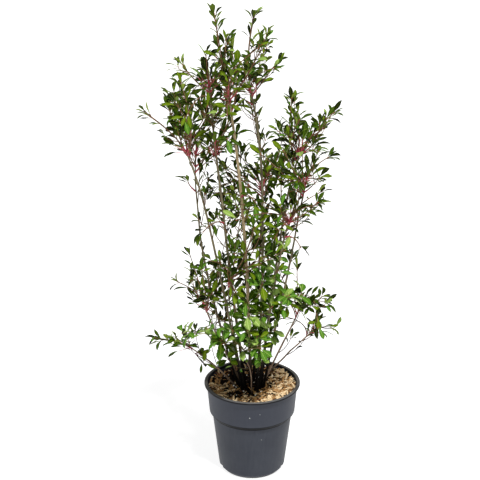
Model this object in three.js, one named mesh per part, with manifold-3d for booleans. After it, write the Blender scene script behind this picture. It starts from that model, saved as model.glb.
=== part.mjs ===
// A redvein enkianthus in a nursery pot: canes that rise from one crown at soil level, each ending
// in a whorl of leafy shoots. Millimetres, +Z up, origin at the centre of the pot's underside.
import * as THREE from "three";
import { mergeVertices } from "three/addons/utils/BufferGeometryUtils.js";
import Module from "manifold-3d";

const wasm = await Module();
wasm.setup();

const CLEAR = 0.3;
const UP = new THREE.Vector3(0, 0, 1);
const ACROSS = new THREE.Vector3(1, 0, 0);

// The pot: a tapering wall, a wider collar above a slanting step, and a rolled lip
const POT_SIDES = 32;
const POT_WALL = 2;
const POT_FLOOR = 3;
const POT_HEIGHT = 187;
const FOOT_RADIUS = 59.4;
const WALL_FOOT_RADIUS = 66.2;
const WALL_FOOT_HEIGHT = 8;
const STEP_RADIUS = 79.4;
const STEP_HEIGHT = 120.5;
const COLLAR_RADIUS = 85.2;
const COLLAR_HEIGHT = 126.5;
const NECK_RADIUS = 90;
const LIP_RADIUS = 95;
const LIP_DEPTH = 4.6;
const LIP_ROUND = 1.2;
const NOTCH_TURNS = [22.5, 157.5, 202.5, 337.5];
const NOTCH_WIDTH = 14;
const NOTCH_HEIGHT = 11;
const NOTCH_DEPTH = 8;

// The mulched compost that fills it, level round the canes and lower at the wall
const SOIL_TOP = 170;
const SOIL_EDGE_DROP = 3;
const SOIL_LEVEL_RADIUS = 48;

// Canes and shoots
const CANE_SIDES = 6;
const CANE_SHARES = [0, 0.025, 0.18, 0.36, 0.54, 0.72, 0.88, 0.985, 1];
const FLARE = 0.45;
const FLARE_SHARE = 0.035;
const NODE_SWELL = 1.25;
const SHOOT_SIDES = 3;
const LEADER_SHARES = [0, 0.2, 0.45, 0.7, 1];
const SIDE_SHARES = [0, 0.5, 1];
const LEADER_RADII = [2, 1];
const SIDE_RADII = [1, 0.8];
const TIP_REACH = 0.85;
const LEADER_STEEPNESS = 0.9;
const LEADER_PULL = 0.36;
const SHOOT_SAG = 0.22;
const SHOOT_RISE = 0.38;
const WHORL_SHARE = 0.3;
const WHORL_STEP = 0.05;
const SIDE_LEAN = THREE.MathUtils.degToRad(44);
const SIDE_LENGTH = 0.56;
const TURN_STRAY = [-0.35, 0.35];
const LEAN_RANGE = [0.85, 1.15];
const LENGTH_RANGE = [0.8, 1.15];
const SPRAY_ROOM = 88;

// Leaves: widest past the middle, folded a little along the midrib, with the tip bent down
const LEAF_LENGTH = 39;
const LEAF_WIDTH = 0.4;
const LEAF_WIDEST = 0.56;
const LEAF_THICK = 0.9;
const LEAF_FOLD = 0.07;
const LEAF_DROOP = 0.13;
const LEAF_SUNK = 0.5;
const STALK_END = 3;
const LOW_SPREAD = THREE.MathUtils.degToRad(56);
const TIP_SPREAD = THREE.MathUtils.degToRad(32);
const END_SPREAD = 0.1;
const LEAF_RANGE = [0.82, 1.12];
const ROLL_RANGE = [-0.55, 0.55];
const SKYWARD = 0.8;
const ASKEW = 0.08;
const LEADER_LEAVES = 2;
const SIDE_LEAVES = 1;
const TUFT_LEAVES = 2;
const FIRST_LEAF = 0.45;
const TUFT_START = 0.86;
const TUFT_STEP = 0.06;
const END_SHARE = 0.985;
const BLADE_START = 0.3;

// What keeps the masses apart, and the numbers that the seeded rule starts from
const GUARD = 0.45;
const MERGE = 0.01;
const SEED = 308;
const SEED_STEP = 97;
const LEAF_SEED_STEP = 10007;

// Each cane: where its foot stands, a point half-way up, its fork, its radii at foot and fork,
// and its sprays. A spray leaves the cane at a share of its length, and its leader aims at a tip.
const CANES = [
  { name: "centre", foot: [-3, -10], waist: [-16, -18, 509], fork: [-45, -15, 767], radii: [4.2, 2.7],
    sprays: [
      { name: "top", at: 1, aim: [-68, -25, 937], shoots: 3 },
      { name: "front", at: 0.975, aim: [-48, -88, 842], shoots: 3 },
      { name: "right", at: 0.985, aim: [31, -5, 897], shoots: 3 },
      { name: "mid", at: 0.62, aim: [17, -84, 588], shoots: 3 },
    ] },
  { name: "back_centre", foot: [9, 9], waist: [19, 18, 530], fork: [-4, 25, 765], radii: [3.6, 2.2],
    sprays: [
      { name: "top", at: 1, aim: [1, 20, 924], shoots: 3 },
      { name: "right", at: 0.985, aim: [55, 35, 846], shoots: 3 },
      { name: "back", at: 0.95, aim: [-20, 110, 811], shoots: 4 },
      { name: "mid", at: 0.6, aim: [56, 90, 624], shoots: 3 },
    ] },
  { name: "left_centre", foot: [-14, 3], waist: [-54, 0, 520], fork: [-80, -10, 784], radii: [3.8, 2.1],
    sprays: [
      { name: "top", at: 1, aim: [-84, -15, 865], shoots: 3 },
      { name: "left", at: 0.98, aim: [-134, -25, 842], shoots: 3 },
      { name: "back", at: 0.94, aim: [-76, 84, 822], shoots: 3 },
      { name: "inner", at: 0.78, aim: [-33, -62, 712], shoots: 3 },
      { name: "low", at: 0.5, aim: [-104, -70, 520], shoots: 3 },
    ] },
  { name: "left", foot: [-19, -9], waist: [-79, -5, 500], fork: [-123, -20, 665], radii: [3.2, 1.9],
    sprays: [
      { name: "reach", at: 1, aim: [-205, -30, 752], shoots: 3 },
      { name: "top", at: 0.98, aim: [-138, -56, 778], shoots: 3 },
    ] },
  { name: "far_left", foot: [-27, 7], waist: [-95, 35, 440], fork: [-108, 50, 640], radii: [3, 1.6],
    sprays: [
      { name: "top", at: 1, aim: [-134, 66, 758], shoots: 3 },
      { name: "side", at: 0.8, aim: [-143, 44, 603], shoots: 2 },
    ] },
  { name: "right", foot: [17, 3], waist: [54, 8, 500], fork: [88, 5, 657], radii: [3.4, 2],
    sprays: [
      { name: "reach", at: 1, aim: [160, -10, 758], shoots: 4 },
      { name: "top", at: 0.985, aim: [68, 0, 784], shoots: 3 },
      { name: "inner", at: 0.965, aim: [30, -30, 728], shoots: 3 },
      { name: "back", at: 0.93, aim: [90, 92, 729], shoots: 3 },
    ] },
  { name: "right_front", foot: [21, -7], waist: [69, -15, 440], fork: [97, -20, 605], radii: [3, 1.7],
    sprays: [
      { name: "reach", at: 1, aim: [151, -30, 666], shoots: 3 },
      { name: "front", at: 0.975, aim: [78, -106, 640], shoots: 3 },
    ] },
  { name: "back", foot: [2, 23], waist: [14, 62, 430], fork: [18, 84, 561], radii: [3, 1.7],
    sprays: [
      { name: "top", at: 1, aim: [12, 104, 668], shoots: 3 },
      { name: "back", at: 0.97, aim: [-2, 165, 596], shoots: 3 },
      { name: "left", at: 0.9, aim: [-72, 118, 600], shoots: 3 },
    ] },
  { name: "right_low", foot: [12, -18], waist: [44, -35, 420], fork: [67, -42, 538], radii: [3, 1.7],
    sprays: [
      { name: "reach", at: 1, aim: [143, -50, 589], shoots: 3 },
      { name: "front", at: 0.97, aim: [30, -122, 530], shoots: 3 },
      { name: "side", at: 0.8, aim: [108, -60, 478], shoots: 3 },
    ] },
  { name: "low_right", foot: [20, 13], waist: [62, 44, 250], fork: [95, 60, 318], radii: [2.4, 1.6],
    sprays: [
      { name: "reach", at: 1, aim: [164, 58, 335], shoots: 3 },
      { name: "back", at: 0.95, aim: [100, 142, 390], shoots: 3 },
    ] },
  { name: "far_right", foot: [17, 27], waist: [73, 70, 214], fork: [120, 95, 249], radii: [2.2, 1.4],
    sprays: [
      { name: "reach", at: 1, aim: [178, 96, 268], shoots: 3 },
    ] },
  { name: "low_left", foot: [-27, -4], waist: [-80, 8, 221], fork: [-123, 15, 252], radii: [2.2, 1.4],
    sprays: [
      { name: "reach", at: 1, aim: [-203, 5, 276], shoots: 3 },
      { name: "up", at: 0.95, aim: [-155, -40, 315], shoots: 3 },
    ] },
  { name: "left_low", foot: [-19, 16], waist: [-66, 20, 268], fork: [-94, 15, 343], radii: [2.8, 1.6],
    sprays: [
      { name: "reach", at: 1, aim: [-158, -14, 420], shoots: 3 },
      { name: "top", at: 0.96, aim: [-125, 60, 460], shoots: 3 },
    ] },
  { name: "front_left", foot: [-10, -22], waist: [-37, -46, 320], fork: [-46, -58, 432], radii: [2.4, 1.5],
    sprays: [
      { name: "top", at: 1, aim: [-87, -80, 496], shoots: 3 },
      { name: "front", at: 0.94, aim: [-26, -140, 428], shoots: 3 },
    ] },
  { name: "front", foot: [0, -30], waist: [-6, -56, 244], fork: [-18, -76, 294], radii: [2, 1.3],
    sprays: [
      { name: "lower_left", at: 1, aim: [-64, -114, 326], shoots: 3 },
      { name: "lower_right", at: 0.92, aim: [30, -124, 318], shoots: 3 },
    ] },
  { name: "front_right", foot: [9, -27], waist: [12, -56, 284], fork: [7, -74, 370], radii: [2.4, 1.5],
    sprays: [
      { name: "top", at: 1, aim: [20, -108, 452], shoots: 4 },
    ] },
];

// Colours of the finishes
const FINISHES = {
  pot: { color: 0x4a4c55, roughness: 0.55, metalness: 0 },
  compost: { color: 0x8a6a42, roughness: 0.95, metalness: 0 },
  bark: { color: 0x7c6a5c, roughness: 0.85, metalness: 0 },
  leafMature: { color: 0x3f6b24, roughness: 0.5, metalness: 0 },
  leafFresh: { color: 0x4f9a30, roughness: 0.5, metalness: 0 },
};
const FRESH_CANES = ["front", "front_right", "front_left", "low_left"];

// Even numbers from 0 to 1 that are the same on every run
function randomStream(seed) {
  let state = seed >>> 0;
  return () => {
    state = (state + 0x6d2b79f5) >>> 0;
    let mix = Math.imul(state ^ (state >>> 15), 1 | state);
    mix = (mix + Math.imul(mix ^ (mix >>> 7), 61 | mix)) ^ mix;
    return ((mix ^ (mix >>> 14)) >>> 0) / 4294967296;
  };
}

function within([low, high], draw) {
  return low + (high - low) * draw;
}

// Turns a closed geometry into a solid that can be joined and cut
function solidOf(geometry) {
  const bare = geometry.clone();
  bare.deleteAttribute("normal");
  bare.deleteAttribute("uv");
  const merged = mergeVertices(bare, 1e-4);
  return new wasm.Manifold(new wasm.Mesh({
    numProp: 3,
    vertProperties: new Float32Array(merged.attributes.position.array),
    triVerts: new Uint32Array(merged.index.array),
  })).simplify(MERGE);
}

// Turns a solid back into a geometry
function geometryOf(solid) {
  const mesh = solid.getMesh();
  const geometry = new THREE.BufferGeometry();
  const points = new Float32Array(mesh.numVert * 3);
  for (let i = 0; i < mesh.numVert; i++) {
    for (let axis = 0; axis < 3; axis++) {
      points[i * 3 + axis] = mesh.vertProperties[i * mesh.numProp + axis];
    }
  }
  geometry.setAttribute("position", new THREE.BufferAttribute(points, 3));
  geometry.setIndex(new THREE.BufferAttribute(new Uint32Array(mesh.triVerts), 1));
  geometry.computeVertexNormals();
  return geometry;
}

// The largest body of a solid: loose scraps and sealed hollows go
function mainBody(solid) {
  const bodies = solid.decompose();
  return bodies.reduce((best, body) => (body.volume() > best.volume() ? body : best));
}

// The wall's outer radius between two heights
function between(low, high, heights, at) {
  return THREE.MathUtils.lerp(low, high, (at - heights[0]) / (heights[1] - heights[0]));
}

function potOutline() {
  const lipFoot = POT_HEIGHT - LIP_DEPTH;
  return [
    [0, 0],
    [FOOT_RADIUS, 0],
    [WALL_FOOT_RADIUS, WALL_FOOT_HEIGHT],
    [STEP_RADIUS, STEP_HEIGHT],
    [COLLAR_RADIUS, COLLAR_HEIGHT],
    [NECK_RADIUS, lipFoot],
    [LIP_RADIUS, lipFoot + LIP_ROUND],
    [LIP_RADIUS, POT_HEIGHT - LIP_ROUND],
    [LIP_RADIUS - LIP_ROUND, POT_HEIGHT],
    [NECK_RADIUS - POT_WALL + LIP_ROUND, POT_HEIGHT],
    [NECK_RADIUS - POT_WALL, POT_HEIGHT - LIP_ROUND],
    [COLLAR_RADIUS - POT_WALL, COLLAR_HEIGHT],
    [STEP_RADIUS - POT_WALL, STEP_HEIGHT],
    [WALL_FOOT_RADIUS - POT_WALL, WALL_FOOT_HEIGHT],
    [FOOT_RADIUS - POT_WALL, POT_FLOOR],
    [0, POT_FLOOR],
  ];
}

// A solid turned round the Z axis
function turned(outline) {
  const profile = outline.map(([radius, height]) => new THREE.Vector2(radius, height));
  return new THREE.LatheGeometry(profile, POT_SIDES).rotateX(Math.PI / 2);
}

// The pot, with two drainage notches through the foot of its wall at each side
function potSolid() {
  let pot = solidOf(turned(potOutline()));
  const reach = WALL_FOOT_RADIUS - FOOT_RADIUS + NOTCH_DEPTH;
  for (const turn of NOTCH_TURNS) {
    const notch = new THREE.BoxGeometry(reach * 2, NOTCH_WIDTH, NOTCH_HEIGHT * 2);
    notch.translate(FOOT_RADIUS - NOTCH_DEPTH + reach, 0, 0);
    notch.rotateZ(THREE.MathUtils.degToRad(turn));
    pot = pot.subtract(solidOf(notch));
  }
  return pot;
}

function soilSolid() {
  const gap = POT_WALL + CLEAR;
  const edgeHeight = SOIL_TOP - SOIL_EDGE_DROP;
  const lipFoot = POT_HEIGHT - LIP_DEPTH;
  const edge = between(COLLAR_RADIUS, NECK_RADIUS, [COLLAR_HEIGHT, lipFoot], edgeHeight);
  return solidOf(turned([
    [0, POT_FLOOR + CLEAR],
    [FOOT_RADIUS - gap - CLEAR, POT_FLOOR + CLEAR],
    [WALL_FOOT_RADIUS - gap, WALL_FOOT_HEIGHT],
    [STEP_RADIUS - gap, STEP_HEIGHT],
    [COLLAR_RADIUS - gap, COLLAR_HEIGHT],
    [edge - gap, edgeHeight],
    [SOIL_LEVEL_RADIUS, SOIL_TOP],
    [0, SOIL_TOP],
  ]));
}

// A limb's rings along its curve: each has a centre, the way on, and two directions across. The
// first ring faces its own way, so that it can meet what carries the limb face to face.
function ringsOf(curve, shares, facing, radius) {
  const chord = curve.getPoint(1).sub(curve.getPoint(0)).normalize();
  const guide = new THREE.Vector3().crossVectors(chord, Math.abs(chord.z) > 0.9 ? ACROSS : UP);
  return shares.map((share, i) => {
    const along = i === 0 ? facing.clone() : curve.getTangent(share);
    const side = guide.clone().addScaledVector(along, -guide.dot(along)).normalize();
    const other = new THREE.Vector3().crossVectors(along, side);
    return { share, point: curve.getPoint(share), along, side, other, radius: radius(share) };
  });
}

// A limb's centre, directions and radius between two of its rings
function ringAt(rings, share) {
  const index = Math.max(1, rings.findIndex((ring) => ring.share >= share));
  const [low, high] = [rings[index - 1], rings[index]];
  const part = (share - low.share) / (high.share - low.share);
  const blend = (key) => low[key].clone().lerp(high[key], part);
  return {
    point: blend("point"),
    along: blend("along").normalize(),
    side: blend("side").normalize(),
    other: blend("other").normalize(),
    radius: THREE.MathUtils.lerp(low.radius, high.radius, part),
  };
}

// A direction that leans away from a ring's way on, turned round it
function leaning(ring, lean, turn) {
  return ring.along.clone().multiplyScalar(Math.cos(lean))
    .addScaledVector(ring.side, Math.sin(lean) * Math.cos(turn))
    .addScaledVector(ring.other, Math.sin(lean) * Math.sin(turn));
}

// A closed limb through its rings, as much thicker as extra says
function limbSolid(rings, sides, extra) {
  const tube = new THREE.CylinderGeometry(1, 1, 1, sides, rings.length - 1);
  const position = tube.attributes.position;
  for (let i = 0; i < position.count; i++) {
    const ring = rings[Math.round((position.getY(i) + 0.5) * (rings.length - 1))];
    const point = ring.point.clone();
    point.addScaledVector(ring.side, position.getZ(i) * (ring.radius + extra));
    point.addScaledVector(ring.other, position.getX(i) * (ring.radius + extra));
    position.setXYZ(i, point.x, point.y, point.z);
  }
  return solidOf(tube);
}

function caneCurve(cane) {
  const foot = new THREE.Vector3(cane.foot[0], cane.foot[1], SOIL_TOP + CLEAR);
  const waist = new THREE.Vector3(...cane.waist);
  const fork = new THREE.Vector3(...cane.fork);
  const pull = waist.clone().multiplyScalar(2).addScaledVector(foot, -0.5).addScaledVector(fork, -0.5);
  return new THREE.QuadraticBezierCurve3(foot, pull, fork);
}

// The cane's radius: an even taper, a flared foot and a swollen node at the fork
function caneRadius(cane, share) {
  const even = THREE.MathUtils.lerp(cane.radii[0], cane.radii[1], share);
  const flare = 1 + FLARE * Math.exp(-share / FLARE_SHARE);
  const swell = share === 1 ? NODE_SWELL : 1;
  return even * flare * swell;
}

function caneRings(cane) {
  return ringsOf(caneCurve(cane), CANE_SHARES, UP, (share) => caneRadius(cane, share));
}

// Where a spray leaves its cane, and the way its first ring faces
function sprayRoot(cane, spray) {
  const { point, along, radius } = ringAt(caneRings(cane), spray.at);
  if (spray.at === 1) {
    return { point: point.addScaledVector(along, CLEAR), facing: along, way: along };
  }
  const facing = new THREE.Vector3(...spray.aim).sub(point);
  facing.addScaledVector(along, -facing.dot(along)).normalize();
  point.addScaledVector(facing, radius + CLEAR);
  const way = facing.clone().addScaledVector(along, LEADER_STEEPNESS).normalize();
  return { point, facing, way };
}

// A shoot's path: out first, then bending up to its end
function shootCurve(from, to) {
  const run = to.clone().sub(from);
  const level = new THREE.Vector3(run.x, run.y, 0);
  const pull = from.clone().addScaledVector(run, 0.5).addScaledVector(level, SHOOT_SAG);
  pull.z -= level.length() * SHOOT_SAG;
  return new THREE.QuadraticBezierCurve3(from, pull, to);
}

// The shoots of a spray. The leader stops a leaf short of the aim, and the others leave it in a
// whorl, even round it, and bend up.
function shootsOf(spray, root, seed) {
  const draw = randomStream(seed);
  const run = new THREE.Vector3(...spray.aim).sub(root.point);
  const reach = run.length();
  const end = root.point.clone().addScaledVector(run, 1 - (TIP_REACH * LEAF_LENGTH) / reach);
  const pull = root.point.clone().addScaledVector(root.way, reach * LEADER_PULL);
  const leader = new THREE.QuadraticBezierCurve3(root.point, pull, end);
  const leaderRings = ringsOf(leader, LEADER_SHARES, root.facing, taper(LEADER_RADII));
  const shoots = [{ rings: leaderRings, leaves: LEADER_LEAVES, side: false }];
  const phase = draw() * 2 * Math.PI;
  for (let i = 1; i < spray.shoots; i++) {
    const share = WHORL_SHARE + WHORL_STEP * i;
    const even = (2 * Math.PI * i) / (spray.shoots - 1);
    const turn = phase + even + within(TURN_STRAY, draw());
    const lean = SIDE_LEAN * within(LEAN_RANGE, draw());
    const length = reach * SIDE_LENGTH * within(LENGTH_RANGE, draw());
    const fork = ringAt(leaderRings, share);
    const out = leaning(fork, lean, turn);
    const to = out.clone().multiplyScalar(length);
    to.z += length * SHOOT_RISE * (1 - out.z);
    to.setLength(length).add(fork.point);
    const curve = shootCurve(fork.point, to);
    const rings = ringsOf(curve, SIDE_SHARES, curve.getTangent(0), taper(SIDE_RADII));
    shoots.push({ rings, leaves: SIDE_LEAVES, side: true });
  }
  return shoots;
}

function taper([thick, thin]) {
  return (share) => THREE.MathUtils.lerp(thick, thin, share);
}

// One leaf of eight faces: a point sunk in the shoot, the tip, two edges and a thick stalk end
function leafSolid({ root, along, face, length, start, extra }) {
  const blade = new THREE.OctahedronGeometry(1, 0);
  const across = new THREE.Vector3().crossVectors(face, along).normalize();
  const position = blade.attributes.position;
  for (let i = 0; i < position.count; i++) {
    const [x, y, z] = [position.getX(i), position.getY(i), position.getZ(i)].map(Math.round);
    let forward = x > 0 ? length + extra : start - extra;
    let lift = x > 0 ? -length * LEAF_DROOP : 0;
    if (x === 0) {
      forward = y === 0 ? start + LEAF_SUNK + STALK_END : length * LEAF_WIDEST;
      lift = y === 0 ? z * (LEAF_THICK / 2 + extra) : length * LEAF_FOLD;
    }
    const width = y * (length * LEAF_WIDTH * 0.5 + extra);
    const point = root.clone().addScaledVector(along, forward);
    point.addScaledVector(across, width).addScaledVector(face, lift);
    position.setXYZ(i, point.x, point.y, point.z);
  }
  return solidOf(blade);
}

// The places of a shoot's leaves: some spaced along it, a tuft below its end and one at its end.
// Each leaves through a flat side of the shoot, a third of a turn on from the last.
function leavesOf(shoot, seed) {
  const draw = randomStream(seed);
  const phase = Math.floor(draw() * SHOOT_SIDES);
  const total = shoot.leaves + TUFT_LEAVES;
  const leaves = Array.from({ length: total }, (_, i) => {
    const inTuft = i - shoot.leaves;
    const even = THREE.MathUtils.lerp(FIRST_LEAF, TUFT_START, i / shoot.leaves);
    return {
      share: inTuft < 0 ? even : TUFT_START + inTuft * TUFT_STEP,
      turn: phase + i,
      lean: inTuft < 0 ? LOW_SPREAD : TIP_SPREAD,
      length: LEAF_LENGTH * within(LEAF_RANGE, draw()),
      roll: within(ROLL_RANGE, draw()),
    };
  });
  const roll = within(ROLL_RANGE, draw());
  return [...leaves, { share: END_SHARE, turn: phase, lean: END_SPREAD, length: LEAF_LENGTH, roll }];
}

// Sets a leaf on its shoot: its upper face looks to the shoot's tip and to the sky
function placedLeaf(shoot, leaf, skippedSides) {
  const ring = ringAt(shoot.rings, leaf.share);
  const turn = (2 * Math.PI * (leaf.turn + skippedSides + 0.5)) / SHOOT_SIDES;
  const along = leaning(ring, leaf.lean, turn).normalize();
  const face = ring.along.clone().addScaledVector(UP, SKYWARD).addScaledVector(ring.side, ASKEW);
  face.addScaledVector(along, -face.dot(along)).normalize();
  face.applyAxisAngle(along, leaf.roll);
  return { root: ring.point, along, face, length: leaf.length };
}

// Everything built so far, to keep each mass to its own space
const placed = [];

function boxOf(solid) {
  const { min, max } = solid.boundingBox();
  return new THREE.Box3(new THREE.Vector3(...min), new THREE.Vector3(...max));
}

function claim(owner, solid) {
  placed.push({ owner, solid, box: boxOf(solid) });
}

// Whether a solid touches any built so far whose owner counts
function touches(solid, counts) {
  const box = boxOf(solid);
  return placed.some((other) => counts(other.owner)
    && other.box.intersectsBox(box)
    && !other.solid.intersect(solid).isEmpty());
}

// Adds a shoot to its mass, unless it would touch another mass, a cane, the compost or the pot.
// The leader comes closer than the rest to the cane that carries it.
function growShoot(mass, shoot) {
  const solid = limbSolid(shoot.rings, SHOOT_SIDES, 0);
  const carrier = (owner) => !shoot.side && owner === mass.cane.name;
  const neighbours = (owner) => owner !== mass.name && !carrier(owner);
  const guard = limbSolid(shoot.rings, SHOOT_SIDES, GUARD);
  if (touches(solid, carrier) || touches(guard, neighbours)) return false;
  claim(mass.name, solid);
  mass.parts.push(solid);
  return true;
}

// Adds a leaf at the first side of its shoot where it stays in the mass's space and touches
// nothing: its blade keeps clear of every solid, its stalk of all but its own mass
function growLeaf(mass, shoot, leaf) {
  for (let side = 0; side < SHOOT_SIDES; side++) {
    const set = placedLeaf(shoot, leaf, side);
    const tip = set.root.clone().addScaledVector(set.along, set.length);
    const blade = leafSolid({ ...set, start: set.length * BLADE_START, extra: GUARD });
    const whole = leafSolid({ ...set, start: -LEAF_SUNK, extra: GUARD });
    const inside = mass.shoots[0].rings.some((ring) => ring.point.distanceTo(tip) < SPRAY_ROOM);
    if (!inside || touches(blade, () => true)) continue;
    if (touches(whole, (owner) => owner !== mass.name)) continue;
    const solid = leafSolid({ ...set, start: -LEAF_SUNK, extra: 0 });
    claim(mass.name, solid);
    mass.parts.push(solid);
    return;
  }
}

function mesh(name, solid, finish) {
  const piece = new THREE.Mesh(geometryOf(solid), new THREE.MeshStandardMaterial(FINISHES[finish]));
  piece.name = name;
  return piece;
}

const plant = new THREE.Group();
const pot = potSolid();
const soil = soilSolid();
claim("pot", pot);
claim("soil", soil);
plant.add(mesh("pot", pot, "pot"), mesh("compost", soil, "compost"));

for (const cane of CANES) {
  const solid = limbSolid(caneRings(cane), CANE_SIDES, 0);
  claim(cane.name, solid);
  plant.add(mesh(`cane_${cane.name}`, solid, "bark"));
}

const masses = CANES.flatMap((cane) => cane.sprays.map((spray) => {
  return { name: `foliage_${cane.name}_${spray.name}`, cane, spray, parts: [] };
}));
masses.forEach((mass, index) => {
  mass.seed = SEED + SEED_STEP * index;
  mass.shoots = shootsOf(mass.spray, sprayRoot(mass.cane, mass.spray), mass.seed);
  const leader = growShoot(mass, mass.shoots[0]);
  if (!leader) throw new Error(`the leader of ${mass.name} touches another limb`);
});
for (const mass of masses) {
  mass.shoots = mass.shoots.filter((shoot, index) => index === 0 || growShoot(mass, shoot));
}
for (const mass of masses) {
  mass.shoots.forEach((shoot, index) => {
    leavesOf(shoot, mass.seed + LEAF_SEED_STEP * (index + 1))
      .forEach((leaf) => growLeaf(mass, shoot, leaf));
  });
  const fresh = FRESH_CANES.includes(mass.cane.name);
  const solid = mainBody(wasm.Manifold.union(mass.parts).simplify(MERGE));
  plant.add(mesh(mass.name, solid, fresh ? "leafFresh" : "leafMature"));
}

export default plant;
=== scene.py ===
"""A redvein enkianthus in its nursery pot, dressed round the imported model.

Metres, +Z up, with the origin at the centre of the pot's underside and the front towards -Y.
The canes and shoots follow the rule of the part's source and go on to finer twigs.
"""

import itertools
import logging
import math
from collections import defaultdict
from collections.abc import Mapping, Sequence
from dataclasses import dataclass, field, replace
from enum import Enum
from typing import ClassVar

import bpy
import numpy as np
from mathutils import Matrix, Vector

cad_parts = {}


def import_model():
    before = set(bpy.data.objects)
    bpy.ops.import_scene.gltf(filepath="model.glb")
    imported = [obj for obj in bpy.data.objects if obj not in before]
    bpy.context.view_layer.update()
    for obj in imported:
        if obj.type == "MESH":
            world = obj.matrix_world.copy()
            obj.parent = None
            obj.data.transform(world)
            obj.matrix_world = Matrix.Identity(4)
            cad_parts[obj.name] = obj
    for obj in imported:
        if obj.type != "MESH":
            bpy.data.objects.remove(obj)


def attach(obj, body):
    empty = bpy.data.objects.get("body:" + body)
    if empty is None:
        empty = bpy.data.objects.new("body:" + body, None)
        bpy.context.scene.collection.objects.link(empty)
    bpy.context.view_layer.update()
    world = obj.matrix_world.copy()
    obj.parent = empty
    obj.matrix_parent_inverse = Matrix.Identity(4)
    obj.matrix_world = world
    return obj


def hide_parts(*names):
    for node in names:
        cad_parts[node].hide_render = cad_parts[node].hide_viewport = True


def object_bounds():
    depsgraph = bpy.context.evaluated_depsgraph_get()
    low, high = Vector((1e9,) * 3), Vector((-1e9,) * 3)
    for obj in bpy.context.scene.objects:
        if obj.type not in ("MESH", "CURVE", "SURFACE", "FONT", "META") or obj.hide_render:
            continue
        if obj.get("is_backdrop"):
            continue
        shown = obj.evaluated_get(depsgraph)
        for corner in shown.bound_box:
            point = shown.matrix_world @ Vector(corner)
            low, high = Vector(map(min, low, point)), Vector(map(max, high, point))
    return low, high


log = logging.getLogger("potted_shrub")

MM = 0.001
UP = Vector((0, 0, 1))
ACROSS = Vector((1, 0, 0))
FULL_TURN = 2 * math.pi
GOLDEN = math.pi * (3 - math.sqrt(5))
SPECULAR = "Specular IOR Level"
BARK_PLACE = "bark_place"
Colour = tuple[float, float, float, float]
Range = tuple[float, float]
Socket = bpy.types.NodeSocket
# One ring of points of a tube: centres, two directions across, radius and straightened height
Level = tuple[np.ndarray, np.ndarray, np.ndarray, float, float | np.ndarray]


class Draws:
    """The source's stream of even numbers from 0 to 1, the same on every run."""

    def __init__(self, seed: int) -> None:
        """Starts the stream.

        Args:
            seed: The number that it starts from.
        """
        self.state = seed & 0xFFFFFFFF

    def __call__(self) -> float:
        """Returns the next number."""
        whole = 0xFFFFFFFF
        self.state = (self.state + 0x6D2B79F5) & whole
        mix = ((self.state ^ (self.state >> 15)) * (1 | self.state)) & whole
        mix = ((mix + (((mix ^ (mix >> 7)) * (61 | mix)) & whole)) & whole) ^ mix
        return ((mix ^ (mix >> 14)) & whole) / 4294967296

    def within(self, span: Range) -> float:
        """Returns the next number, set between two limits."""
        return span[0] + (span[1] - span[0]) * self()


def lerp(low: float, high: float, share: float) -> float:
    """Returns the value at a share of the way from low to high."""
    return low + (high - low) * share


def linear(code: str) -> Colour:
    """Turns an sRGB hex colour into linear light.

    Args:
        code: The colour, such as #4a4c55.

    Returns:
        Red, green, blue and an alpha of 1.
    """
    values = [int(code[i : i + 2], 16) / 255 for i in (1, 3, 5)]
    red, green, blue = (
        v / 12.92 if v <= 0.04045 else ((v + 0.055) / 1.055) ** 2.4 for v in values
    )
    return red, green, blue, 1.0


def add_node(
    tree: bpy.types.NodeTree, kind: str, inputs: Mapping[str | int, object], **settings: object
) -> bpy.types.Node:
    """Adds one node.

    Args:
        tree: The tree that it goes into.
        kind: Its class, without the prefix that all share.
        inputs: What each of its sockets reads: another socket or a value.
        **settings: Its properties.

    Returns:
        The node.
    """
    node = tree.nodes.new(f"ShaderNode{kind}")
    for key, value in settings.items():
        setattr(node, key, value)
    for key, value in inputs.items():
        if isinstance(value, Socket):
            tree.links.new(value, node.inputs[key])
        else:
            node.inputs[key].default_value = value
    return node


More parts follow.
